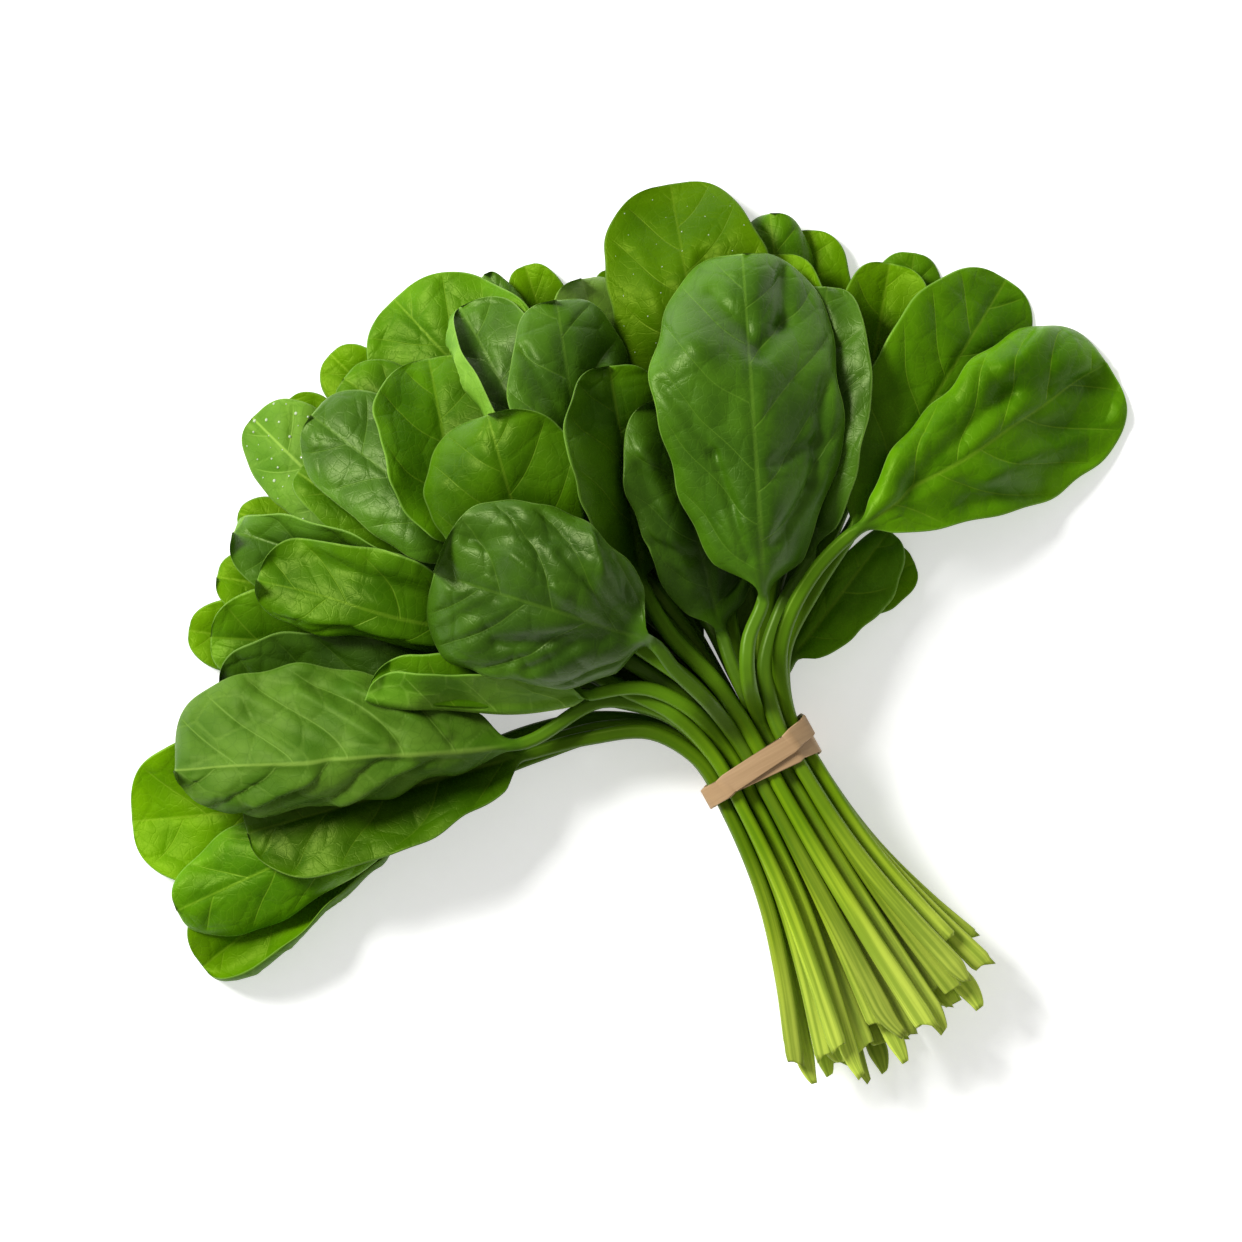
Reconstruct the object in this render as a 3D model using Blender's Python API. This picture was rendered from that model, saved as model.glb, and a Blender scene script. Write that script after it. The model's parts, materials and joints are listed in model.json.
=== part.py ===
"""A bunch of spinach, tied with a rubber band and lying on a flat surface.

Each leaf is one solid: a cut stem, its midrib and its blade, as it grew. The leaves are laid one
after another, from the bottom of the heap to the top, and each is lifted just clear of what
already lies under it, so none of them cross. All the stems run through the band in level rows.
"""

import math
import random
from collections import namedtuple

import bmesh
import bpy
import numpy as np

MM = 0.001

# Driving sizes, in millimetres and degrees. The plan is seen from above, with its zero at the
# middle of the band, and TURN then turns the whole bunch so that its stems run along +Y.
STEM_HEADING = 119.0
TURN = 90.0 - STEM_HEADING
STEM_RADIUS = 1.7
STEM_SIDES = 6
BLADE_THICKNESS = 0.8
SEED = 11

# In the band the stems stand in columns, STEM_PITCH apart, and in levels, ROW_PITCH apart. A
# column holds so many stems, and the outer ones start higher, as the band rounds the bundle.
STEM_PITCH = 4.0
ROW_PITCH = 3.8
COLUMN_SIZES = (4, 6, 6, 7, 7, 6, 6, 4)
COLUMN_STARTS = (2, 1, 0, 0, 0, 0, 1, 2)

# The rubber band, and how far the stems stay straight each way from its middle
BAND_WIDTH = 6.0
BAND_THICKNESS = 0.9
BAND_GAP = 0.3
BAND_STATIONS = 96
TURNS_APART = 0.15
TURNS_GAP = 0.2
SIDE_BY_SIDE = math.radians(-45)
STRAIGHT = 9.0

# The cut stems behind the band: the longest, how many times wider they spread, how much shorter
# the outer ones are for each square millimetre off the middle, and what chance adds
TAIL_LENGTH = 87.0
TAIL_SPREAD = 2.25
TAIL_ROUNDING = 0.009
TAIL_WANDER = 1.1
TAIL_UNEVEN = 12.0
TAIL_STATIONS = (58.0, 33.0)
GOLDEN_SHARE = 0.618

# The fan of growing stems: its middle lies behind the band, columns keep FAN_PITCH apart there,
# and a stem has a section about every STEM_SPAN
FAN_CENTRE = 20.0
FAN_PITCH = 4.6
FAN_STATIONS = (1, 2, 3)
STEM_SPAN = 17.0

# Where the sections of a blade stand, as shares of its length, and its columns from edge to edge
BLADE_STATIONS = (0.0, 0.06, 0.16, 0.29, 0.43, 0.58, 0.73, 0.86, 0.95, 0.99, 1.0)
BLADE_COLUMNS = (-1.0, -0.5, 0.0, 0.5, 1.0)

# How a blade's half width grows from its base and closes at its round tip, how its edge waves, how
# thick its midrib is at the base, and over which share of it the round stem becomes flat
BASE_TAPER = 0.55
TIP_TAPER = 0.35
WAVES_ALONG = 2.5
WAVE_HEIGHT = 0.045
RIB_DEPTH = 0.85
ROUND_SHARE = 0.1

# How a leaf settles: the gap that it keeps, the smaller one beside the band, how stiff a blade is
# beside a stem, its weight, and the first station that it can move at. A leaf that nothing holds
# up would come down as far as LOWEST_NEED.
LAY_GAP = 0.6
SNUG = 0.3
BLADE_STIFFNESS = 0.1
LEAF_WEIGHT = 1e-4
LOWEST_NEED = -60.0
NEAREST_SHARE = 0.3
HELD = len(TAIL_STATIONS) + 2

# The cells of the map that holds the height of the heap while leaves are laid on it
CELL = 0.5
MAP_LOW = np.array([-200.0, -110.0])
MAP_CELLS = (660, 600)

# base and tip: the two ends of the blade's midrib, in plan. half: the flat widths of its left and
# right halves, looking from base to tip. left and right: how far each half leans up from level, at
# the midrib and at its edge. rise: heights of base and tip before the leaf is laid. arch and bow:
# how far the midrib bends up, and to the left, between them. face: 1 with its upper side up, and
# -1 with its ribbed underside up. taper: how slowly the blade widens from its base.
Leaf = namedtuple(
    "Leaf",
    "base tip half left right rise arch bow face tone taper",
    defaults=((5, 20), (5, 20), None, 5, 0, 1, "mid", BASE_TAPER),
)

LEAVES = (
    # Pressed flat under the middle of the heap
    Leaf((-19, 27), (-68, 94), (21, 21), (0, 0), (0, 0), (1, 1), 0, 0, -1, "under"),
    Leaf((1, 31), (-5, 124), (20, 20), (0, 6), (0, 6), (1, 1), 0, 0, -1, "under"),
    Leaf((-52, 28), (-120, 58), (19, 19), (0, 6), (0, 6), (1, 1), 0, 0, -1, "under"),
    # The lowest at the far left, its outer edge rolled over
    Leaf((-94, -6), (-157, -57), (24, 19), (-5, 125), (5, 20), (5, 2), 6, tone="bright"),
    # Behind the stems on the right
    Leaf((8, 42), (44, 57), (10, 10), (5, 20), (5, 20), (6, 4), 3, tone="bright"),
    Leaf((9, 30), (37, 66), (6, 12), (-10, -20), (5, 20), (6, 5), 2, tone="dark"),
    # The furthest at the left, and the small tips along the rim
    Leaf((-100, -9), (-177, -16), (22, 24), (0, 18), (0, 18), (8, 6), 5, tone="bright"),
    Leaf((-92, 28), (-161, 38), (12, 12), (5, 20), (5, 20), (8, 5), 4, tone="bright"),
    Leaf((14, 90), (14, 151), (12, 13), (5, 20), (5, 15), (8, 6), 4, tone="bright"),
    Leaf((-34, 95), (-42, 140), (7, 7), (5, 25), (5, 25), (8, 6), 3, tone="bright"),
    Leaf((-100, 66), (-133, 103), (9, 10), (5, 20), (5, 20), (8, 5), 3, tone="bright"),
    Leaf((-93, -8), (-164, -41), (16, 16), (-5, -45), (-5, -40), (14, 8), 5, tone="mid"),
    Leaf((-90, 44), (-153, 53), (12, 12), (5, 20), (5, 20), (8, 6), 3, tone="bright"),
    Leaf((-100, 58), (-147, 71), (8, 8), (5, 20), (5, 20), (9, 6), 3, tone="bright"),
    Leaf((-82, 78), (-121, 116), (11, 11), (5, 15), (5, 15), (9, 6), 3, tone="bright"),
    Leaf((-50, 92), (-66, 141), (9, 10), (5, 15), (5, 15), (9, 6), 3, tone="bright"),
    Leaf((34, 86), (44, 144.5), (13, 12), (0, -20), (0, -25), (10, 8), 4, tone="mid"),
    # A deep spoon with a bright lower edge
    Leaf((-66, 3), (-144, -19), (20, 20), (10, 50), (10, 30), (14, 14), 2, tone="mid"),
    Leaf((-52, 95), (-78, 138), (8, 8), (30, 60), (-20, -50), (11, 9), 3, tone="dark"),
    Leaf((-84, 32), (-154.5, 36), (15, 17), (5, 30), (5, 30), (12, 12), 3, tone="mid"),
    Leaf((-104, 60), (-143, 98), (13, 16), (-5, -25), (0, -20), (14, 12), 5, face=-1, tone="pale"),
    Leaf((10, 92), (3, 155.5), (13, 15), (-10, -60), (-10, -60), (12, 12), 4, tone="mid"),
    Leaf((-48, 72), (-103, 131.5), (23, 26), (5, 15), (5, 15), (14, 12), 4, tone="mid"),
    Leaf((-74, 20), (-152, 20.5), (19, 20), (10, 35), (15, 45), (15, 18), 0, tone="dark"),
    Leaf((-98, 60), (-130, 82.5), (8, 9), (5, 20), (5, 20), (16, 14), 3, tone="mid"),
    Leaf((-72, 76), (-117, 109), (12, 14), (0, -20), (0, -20), (16, 14), 4, tone="mid"),
    Leaf((-86, 50), (-148, 65.5), (15, 15), (0, -30), (45, 70), (18, 18), 3, tone="dark"),
    Leaf((-36, 84), (-50, 137), (13, 13), (5, 15), (5, 15), (16, 14), 3, tone="pale"),
    Leaf((27, 84), (37, 141.5), (15, 15), (10, 35), (10, 35), (16, 15), 2, tone="bright"),
    # The broad one at the left with its ribbed underside up and its near half hanging
    Leaf((-68, 6), (-164, -1), (28, 27), (-45, -75), (0, -18), (20, 22), 5, 0, -1, "pale", 0.75),
    Leaf((8, 82), (4, 143.8), (15, 16), (5, 20), (5, 20), (18, 16), 3, tone="bright"),
    Leaf((-70, 56), (-126, 98.5), (17, 19), (-5, -30), (-5, -25), (20, 20), 6, tone="dark"),
    Leaf((-13, 92), (-25, 164), (23, 23), (0, 15), (0, 12), (20, 20), 4, tone="bright"),
    Leaf((26, 66), (70, 137), (21, 18), (5, 20), (0, -10), (22, 22), 5, tone="mid"),
    Leaf((-82, 60), (-93, 114.5), (22, 21), (15, 50), (5, 15), (22, 22), 4, tone="mid"),
    # Long and turned on its side, so that one half lies to the light
    Leaf((-70, 34), (-141, 52), (18, 18), (-45, -70), (5, 35), (24, 24), 4, tone="mid"),
    # Its left edge rolls right over
    Leaf((-58, 80), (-84, 129), (24, 17), (-10, 150), (5, 10), (24, 24), 4, tone="dark"),
    Leaf((14, 60), (19, 134.5), (15, 14), (5, 10), (0, 20), (24, 24), 4, tone="dark"),
    # Folded along its midrib, with its near half over the far one
    Leaf((-47, 20), (-110, 20), (16, 17), (125, 140), (0, 25), (26, 25), 2, 5, tone="mid"),
    Leaf((-47, 66), (-57, 130.5), (18, 18), (-5, -35), (-5, -25), (26, 26), 6, tone="dark"),
    Leaf((-62, 48), (-76, 98), (23, 21), (0, -15), (0, 15), (28, 28), 6, tone="mid"),
    # The big one at the far right, creased along its midrib
    Leaf((27, 66), (98.5, 113), (25, 24), (25, -55), (-35, 15), (28, 26), 7, 0, 1, "dark", 0.85),
    Leaf((-33, 52), (-42, 112), (19, 17), (20, 55), (5, 10), (30, 30), 4, tone="mid"),
    # The three large dark ones on top
    Leaf((-11, 38), (-27, 103), (18, 18), (-5, -40), (0, -10), (32, 32), 4, tone="dark"),
    Leaf((-31, 35), (-91, 54), (26, 30), (0, -45), (-5, -35), (36, 34), 8, tone="dark"),
    Leaf((1, 48), (-5, 143.5), (29, 28), (-5, -40), (-5, -45), (38, 36), 10, tone="dark"),
)

TONES = {
    "under": (0.16, 0.30, 0.07),
    "pale": (0.27, 0.45, 0.12),
    "bright": (0.20, 0.42, 0.03),
    "mid": (0.08, 0.27, 0.03),
    "dark": (0.035, 0.16, 0.025),
    "band": (0.48, 0.30, 0.17),
}

# What follows from the sizes above
HEADING = np.array([math.cos(math.radians(STEM_HEADING)), math.sin(math.radians(STEM_HEADING))])
ACROSS = np.array([HEADING[1], -HEADING[0]])
BAND_LAYER = BAND_THICKNESS + TURNS_GAP
LOWEST_ROW = STEM_RADIUS + BAND_GAP + BAND_LAYER + BAND_THICKNESS


def clear_scene():
    for obj in list(bpy.data.objects):
        bpy.data.objects.remove(obj)


def material(tone, roughness):
    made = bpy.data.materials.new(tone)
    made.use_nodes = True
    shader = made.node_tree.nodes["Principled BSDF"]
    shader.inputs["Base Color"].default_value = (*TONES[tone], 1.0)
    shader.inputs["Roughness"].default_value = roughness
    shader.inputs["Metallic"].default_value = 0.0
    return made


def hermite(start, leave, end, arrive, share):
    """Points on the cubic that leaves start along one vector and arrives at end along another."""
    t = np.asarray(share, float)[:, None]
    return (
        (2 * t**3 - 3 * t**2 + 1) * start
        + (t**3 - 2 * t**2 + t) * leave
        + (3 * t**2 - 2 * t**3) * end
        + (t**3 - t**2) * arrive
    )


def in_space(plan, height):
    return np.array([plan[0], plan[1], height])


Slot = namedtuple("Slot", "column level offset height")


def bearing(point):
    """The angle of a point to the right of the stems' heading, seen from the middle of the fan."""
    way = np.array(point[:2]) + HEADING * FAN_CENTRE
    return math.atan2(way @ ACROSS, way @ HEADING)


def band_slots():
    """A place in the band for each leaf: columns from left to right, and levels upwards as they lie."""
    in_order = sorted(range(len(LEAVES)), key=lambda index: bearing(LEAVES[index].base))
    slots, first = {}, 0
    for column, (size, start) in enumerate(zip(COLUMN_SIZES, COLUMN_STARTS)):
        offset = (column - (len(COLUMN_SIZES) - 1) / 2) * STEM_PITCH
        for level, index in enumerate(sorted(in_order[first:first + size]), start):
            slots[index] = Slot(column, level, offset, LOWEST_ROW + level * ROW_PITCH)
        first += size
    return slots


def midrib_point(leaf, share):
    """Points on the blade's midrib, from its base at 0 to its tip at 1."""
    u = np.asarray(share, float)[:, None]
    base = in_space(leaf.base, leaf.rise[0])
    tip = in_space(leaf.tip, leaf.rise[1])
    along = np.array(leaf.tip) - np.array(leaf.base)
    left = np.array([-along[1], along[0]]) / np.linalg.norm(along)
    bend = in_space(left * leaf.bow, leaf.arch)
    return base + (tip - base) * u + bend * 4 * u * (1 - u)


def tail_share(distance):
    """How far the cut stems have sunk and spread at a distance behind the band, from 0 to 1."""
    t = (distance - STRAIGHT) / (TAIL_LENGTH - STRAIGHT)
    return t * t * (3 - t) / 2


def cut_stem(slot, chance):
    """The stem's centreline behind the band, from its cut end. Each level lies beside the others."""
    beside = (slot.level * GOLDEN_SHARE % 1 - 0.5) * STEM_PITCH * TAIL_SPREAD
    wander = beside + chance.uniform(-TAIL_WANDER, TAIL_WANDER)
    reach = TAIL_LENGTH - TAIL_ROUNDING * (slot.offset * TAIL_SPREAD) ** 2 - chance.uniform(0, TAIL_UNEVEN)
    tail = []
    for distance in (reach, *TAIL_STATIONS, STRAIGHT):
        share = tail_share(distance)
        sideways = slot.offset * (1 + (TAIL_SPREAD - 1) * share) + wander * share
        sunk = slot.height - (LOWEST_ROW - STEM_RADIUS) * share
        tail.append(in_space(ACROSS * sideways - HEADING * distance, sunk))
    return np.array(tail)


def growing_stem(leaf, slot):
    """The stem's centreline from where it leaves the band to the base of its blade."""
    leaving = in_space(ACROSS * slot.offset + HEADING * STRAIGHT, slot.height)
    start, ahead = midrib_point(leaf, (0.0, 0.01))
    way_in = (ahead - start) / np.linalg.norm(ahead - start)
    distance = np.linalg.norm(start - leaving)
    spans = max(3, round(distance / STEM_SPAN))
    share = np.linspace(0, 1, spans + 1)
    return hermite(leaving, in_space(HEADING, 0) * distance, start, way_in * distance, share)


def spread_apart(angles, least):
    """Moves angles that rise in order as little as it takes to be at least so far apart."""
    angles = list(angles)
    for _ in range(200):
        for k in range(len(angles) - 1):
            lack = least - (angles[k + 1] - angles[k])
            if lack > 0:
                angles[k] -= lack / 2
                angles[k + 1] += lack / 2
    return angles


def turned_to(point, angle):
    """The point moved round the middle of the fan to a new bearing."""
    turn = bearing(point) - angle
    way = point[:2] + HEADING * FAN_CENTRE
    turned = np.array([
        way[0] * math.cos(turn) - way[1] * math.sin(turn),
        way[0] * math.sin(turn) + way[1] * math.cos(turn),
    ])
    return in_space(turned - HEADING * FAN_CENTRE, point[2])


def fan_out(columns, station):
    """Keeps each column of stems to its own sector of the fan at one station."""
    radius = np.mean([
        np.linalg.norm(stem[station][:2] + HEADING * FAN_CENTRE) for column in columns for stem in column
    ])
    least = FAN_PITCH / radius
    before = [np.mean([bearing(stem[station]) for stem in column]) for column in columns]
    after = spread_apart(before, least)
    edges = [-math.pi] + [(a + b) / 2 for a, b in zip(after, after[1:])] + [math.pi]
    for k, column in enumerate(columns):
        low = min(edges[k] + least / 2, after[k])
        high = max(edges[k + 1] - least / 2, after[k])
        for stem in column:
            angle = after[k] + bearing(stem[station]) - before[k]
            stem[station] = turned_to(stem[station], min(max(angle, low), high))


def stem_paths(slots, chance):
    """For each leaf its stem's centreline, from the cut end to the blade."""
    stems = {index: growing_stem(LEAVES[index], slot) for index, slot in slots.items()}
    for station in FAN_STATIONS:
        columns = [[] for _ in COLUMN_SIZES]
        for index, slot in slots.items():
            if len(stems[index]) > station + 1:
                columns[slot.column].append(stems[index])
        fan_out([column for column in columns if column], station)
    return {
        index: np.vstack([cut_stem(slots[index], chance), stems[index][:-1]])
        for index in range(len(LEAVES))
    }


def side_of(path):
    """The level unit vector to the left of the path at each of its points."""
    way = np.gradient(path[:, :2], axis=0)
    way /= np.linalg.norm(way, axis=1)[:, None]
    return np.column_stack([-way[:, 1], way[:, 0], np.zeros(len(way))])


def half_section(width, lean, q):
    """Sideways and upward place at the share q of a half blade, and the slope there."""
    first, last = (math.radians(angle) for angle in lean)
    turn = last - first
    slope = first + turn * q
    if abs(turn) < 1e-6:
        return width * q * math.cos(first), width * q * math.sin(first), slope
    radius = width / turn
    sideways = radius * (math.sin(slope) - math.sin(first))
    upward = radius * (math.cos(first) - math.cos(slope))
    return sideways, upward, slope


def blade_share(leaf, u):
    """Half width at the share u of the blade's length, where 1 is the widest."""
    widest = leaf.taper / (leaf.taper + TIP_TAPER)
    return (u / widest) ** leaf.taper * ((1 - u) / (1 - widest)) ** TIP_TAPER


def blade_section(leaf, u, waves):
    """The closed outline across the blade at u: the upper points from left to right, then the lower."""
    upper, lower = [], []
    for column in BLADE_COLUMNS:
        is_left = column < 0
        full = leaf.half[0] if is_left else leaf.half[1]
        width = max(STEM_RADIUS, full * blade_share(leaf, u))
        lean = leaf.left if is_left else leaf.right
        q = abs(column)
        sideways, upward, slope = half_section(width, lean, q)
        phase = waves[0] if is_left else waves[1]
        wave = math.sin(2 * math.pi * WAVES_ALONG * u + phase)
        upward += WAVE_HEIGHT * full * q**2 * blade_share(leaf, u) * wave
        if column == 0:
            slope = math.radians(leaf.right[0] - leaf.left[0]) / 2
        sign = 1 if is_left else -1
        normal = np.array([-math.sin(slope) * sign, math.cos(slope)])
        if column == 0:
            normal = np.array([math.sin(slope), math.cos(slope)])
        middle = np.array([sideways * sign, upward])
        rib = STEM_RADIUS * RIB_DEPTH * (1 - u) if column == 0 else 0.0
        over = BLADE_THICKNESS / 2 + (rib if leaf.face < 0 else 0)
        under = BLADE_THICKNESS / 2 + (rib if leaf.face > 0 else 0)
        upper.append(middle + normal * over)
        lower.append(middle - normal * under)
    flat = np.array(upper + lower[::-1])
    count = len(flat)
    angles = math.pi - (np.arange(count) + 0.5) / count * 2 * math.pi
    ring = np.column_stack([-np.cos(angles), np.sin(angles)]) * STEM_RADIUS
    share = min(1.0, u / ROUND_SHARE)
    return ring * (1 - share) + flat * share


def stem_ring(half_width, half_height):
    angles = math.pi - np.arange(STEM_SIDES) / STEM_SIDES * 2 * math.pi
    return np.column_stack([-np.cos(angles) * half_width, np.sin(angles) * half_height])


def leaf_rings(leaf, path, chance):
    """The sections of one leaf from its cut end to its tip. The stem flares towards the cut."""
    waves = (chance.uniform(0, 6.28), chance.uniform(0, 6.28))
    flare = chance.uniform(0.6, 1.0)
    blade = midrib_point(leaf, BLADE_STATIONS)
    whole = np.vstack([path, blade])
    left = side_of(whole)
    up = np.array([0.0, 0.0, 1.0])
    rings = []
    for index in range(len(path)):
        toward_cut = max(0.0, 1 - index / len(TAIL_STATIONS))
        section = stem_ring(STEM_RADIUS + flare * toward_cut**1.5, STEM_RADIUS)
        rings.append(whole[index] + section[:, :1] * left[index] + section[:, 1:] * up)
    for step, u in enumerate(BLADE_STATIONS):
        index = len(path) + step
        section = blade_section(leaf, u, waves)
        rings.append(whole[index] + section[:, :1] * left[index] + section[:, 1:] * up)
    return rings


def zip_rings(first, second):
    """Triangles between two rings of point numbers that may differ in count."""
    triangles = []
    i = j = 0
    while i < len(first) or j < len(second):
        here, there = first[i % len(first)], second[j % len(second)]
        if (i + 1) / len(first) <= (j + 1) / len(second):
            triangles.append((here, first[(i + 1) % len(first)], there))
            i += 1
        else:
            triangles.append((here, second[(j + 1) % len(second)], there))
            j += 1
    return triangles


def blade_span(first, second):
    """Triangles between two blade sections, split alike above and below so that the faces can't cross."""
    count = len(first)
    triangles = []
    for j in range(count):
        k = (j + 1) % count
        if j < count // 2:
            triangles += [(first[j], first[k], second[k]), (first[j], second[k], second[j])]
        else:
            triangles += [(first[j], first[k], second[j]), (first[k], second[k], second[j])]
    return triangles


def loft(rings):
    """Point numbers of each ring, and the triangles that close them into one skin."""
    numbers, start = [], 0
    for ring in rings:
        numbers.append(list(range(start, start + len(ring))))
        start += len(ring)
    triangles = [(numbers[0][0], numbers[0][k + 1], numbers[0][k]) for k in range(1, len(rings[0]) - 1)]
    blade_count = 2 * len(BLADE_COLUMNS)
    for first, second in zip(numbers, numbers[1:]):
        both_blade = len(first) == len(second) == blade_count
        triangles += blade_span(first, second) if both_blade else zip_rings(first, second)
    last = numbers[-1]
    half = blade_count // 2
    for k in range(half - 1):
        mirror = blade_count - 1 - k
        triangles += [(last[k], last[k + 1], last[mirror]), (last[k + 1], last[mirror - 1], last[mirror])]
    return triangles


def surface_samples(points, triangles, spacing):
    """Points spread over the triangles no further apart than spacing; a fourth value rides along."""
    corners = points[np.array(triangles)]
    edges = np.linalg.norm(corners[:, [1, 2, 0], :3] - corners[:, :, :3], axis=2).max(axis=1)
    steps = np.ceil(edges / spacing).astype(int)
    steps = 2 ** np.ceil(np.log2(np.maximum(steps, 1))).astype(int)
    found = []
    for count in np.unique(steps):
        a, b = np.meshgrid(np.arange(count + 1), np.arange(count + 1))
        inside = (a + b) <= count
        weights = np.column_stack([a[inside], b[inside], (count - a - b)[inside]]) / count
        found.append(np.einsum("wk,tkc->twc", weights, corners[steps == count]).reshape(-1, points.shape[1]))
    return np.vstack(found)


class Heap:
    """The height of everything laid so far, over the plan. Bare ground lets a leaf come down to zero."""

    def __init__(self):
        self.top = np.full(MAP_CELLS, -LAY_GAP)

    def cells(self, samples):
        index = ((samples[:, :2] - MAP_LOW) / CELL).astype(int)
        return index[:, 0], index[:, 1]

    def add(self, samples):
        np.maximum.at(self.top, self.cells(samples), samples[:, 2])

    def shortfall(self, samples):
        """How far each sample must rise to clear the heap by the gap."""
        return self.top[self.cells(samples)] + LAY_GAP - samples[:, 2]


def bend_rows(line, stiffness, width, count):
    """A row for each point where a line of grid points can bend, by its stiffness and spacing."""
    rows = []
    for k in range(1, len(line) - 1):
        before = max(width[k - 1], 1.0)
        after = max(width[k], 1.0)
        row = np.zeros(count)
        row[line[k - 1]] += 1 / before
        row[line[k]] -= 1 / before + 1 / after
        row[line[k + 1]] += 1 / after
        rows.append(row * math.sqrt(stiffness * 2 / (before + after)))
    return rows


def drape_matrix(rings):
    """How the leaf resists bending. Each stem ring has one lift, each blade section one a column."""
    stem_count = len(rings) - len(BLADE_STATIONS)
    columns = len(BLADE_COLUMNS)
    middle = columns // 2
    grid = np.zeros((len(rings), columns), int)
    grid[:stem_count] = np.arange(stem_count)[:, None]
    grid[stem_count:] = stem_count + np.arange(len(BLADE_STATIONS) * columns).reshape(-1, columns)
    count = grid.max() + 1
    centres = np.array([ring.mean(axis=0) for ring in rings])
    spans = np.linalg.norm(np.diff(centres, axis=0), axis=1)
    rows = []
    for j in range(columns):
        stiffness = 1.0 if j == middle else BLADE_STIFFNESS
        rows += bend_rows(grid[HELD - 1:, j], stiffness, spans[HELD - 1:], count)
    for i in range(stem_count, len(rings)):
        upper = rings[i][:columns]
        rows += bend_rows(grid[i], BLADE_STIFFNESS, np.linalg.norm(np.diff(upper, axis=0), axis=1), count)
    rows = np.array(rows)
    return rows.T @ rows, grid


def draped_lift(stiffness, needed, fixed):
    """The lifts of a leaf settled under its weight: held at some points, and never below needed."""
    free = ~fixed
    lift = np.zeros(len(needed))
    matrix = stiffness[np.ix_(free, free)]
    floor = needed[free]
    force = -LEAF_WEIGHT * np.ones(len(floor))
    held_up = np.ones(len(floor), bool)
    for _ in range(60):
        found = floor.copy()
        loose = ~held_up
        pull = force[loose] - matrix[np.ix_(loose, held_up)] @ floor[held_up]
        found[loose] = np.linalg.solve(matrix[np.ix_(loose, loose)], pull)
        push = matrix @ found - force
        again = np.where(held_up, push > 0, found < floor)
        if (again == held_up).all():
            break
        held_up = again
    lift[free] = np.maximum(found, floor)
    return lift


def lay(rings, triangles, heap):
    """Drapes one leaf over the heap, adds it to the heap, and returns its points."""
    stiffness, grid = drape_matrix(rings)
    columns = len(BLADE_COLUMNS)
    tagged = []
    for index, ring in enumerate(rings):
        is_stem = len(ring) != 2 * columns
        aside = np.linalg.norm(ring[:, :2] - ring[:, :2].mean(axis=0), axis=1)
        across = np.full(len(ring), columns // 2) if is_stem else np.r_[0:columns, columns - 1:-1:-1]
        tagged.append(np.column_stack([ring, np.full(len(ring), index), across, aside]))
    tagged = np.vstack(tagged)
    samples = surface_samples(tagged, triangles, CELL * 0.8)
    place, across, aside = samples[:, 3], samples[:, 4], samples[:, 5]
    short = heap.shortfall(samples)
    needed = np.full(grid.max() + 1, LOWEST_NEED)
    leaving = (place > HELD) & (place < HELD + 1) & (aside < STEM_RADIUS * 0.6)
    first = (short[leaving] - SNUG) / np.maximum(place[leaving] - HELD, NEAREST_SHARE)
    needed[HELD + 1] = first.max(initial=LOWEST_NEED)
    free = place >= HELD + 1
    for rows in (np.floor(place[free]).astype(int), np.ceil(place[free]).astype(int)):
        for sides in (np.floor(across[free]).astype(int), np.ceil(across[free]).astype(int)):
            np.maximum.at(needed, grid[rows, sides], short[free])
    fixed = np.arange(len(needed)) <= HELD
    lift = draped_lift(stiffness, needed, fixed)
    tagged[:, 2] += lift[grid[tagged[:, 3].astype(int), tagged[:, 4].astype(int)]]
    heap.add(surface_samples(tagged, triangles, CELL * 0.8))
    return tagged[:, :3]


def add_mesh(name, points, triangles, finish, collection):
    mesh = bpy.data.meshes.new(name)
    skin = bmesh.new()
    corners = [skin.verts.new(point * MM) for point in points]
    for triangle in triangles:
        skin.faces.new([corners[number] for number in triangle])
    skin.normal_update()
    skin.to_mesh(mesh)
    skin.free()
    mesh.materials.append(finish)
    mesh.shade_smooth()
    obj = bpy.data.objects.new(name, mesh)
    collection.objects.link(obj)
    return obj


def taut_point(around, slots, away):
    """Where a tight loop runs round the held stems, on its side that faces the angle around."""
    facing = np.array([math.cos(around), math.sin(around)])
    outermost = max(slots, key=lambda slot: facing @ (slot.offset, slot.height))
    return np.array([outermost.offset, outermost.height]) + facing * (STEM_RADIUS + BAND_GAP + away)


def winding(slots):
    """What each station faces, and how far it is round the double loop, in radians by length."""
    in_a_turn = BAND_STATIONS // 2
    step = 2 * math.pi / in_a_turn
    facings = [SIDE_BY_SIDE + (index + 0.5) * step for index in range(in_a_turn)]
    turn = np.array([taut_point(around, slots, 0) for around in facings])
    runs = np.linalg.norm(np.roll(turn, -1, axis=0) - turn, axis=1)
    reach = 2 * math.pi * (np.cumsum(runs) - runs) / runs.sum()
    return facings * 2, np.concatenate([reach, reach + 2 * math.pi])


def band_points(slots):
    """One closed loop wound twice. Its turns lie on each other at the left, and part at the right."""
    rings = []
    for around, wind in zip(*winding(slots)):
        half_turn = math.cos(wind / 2)
        aside = (BAND_WIDTH / 2 + TURNS_APART) * math.copysign(abs(half_turn) ** 3, half_turn)
        layer = BAND_LAYER * (0.5 + 0.5 * max(-1.0, min(1.0, 5 * math.sin(wind / 2))))
        ring = []
        for depth, edge in ((1, -1), (1, 1), (0, 1), (0, -1)):
            sideways, height = taut_point(around, slots, layer + depth * BAND_THICKNESS)
            forward = aside + math.cos(around) + edge * BAND_WIDTH / 2
            ring.append(in_space(ACROSS * sideways + HEADING * forward, height))
        rings.append(ring)
    return np.array(rings)


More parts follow.
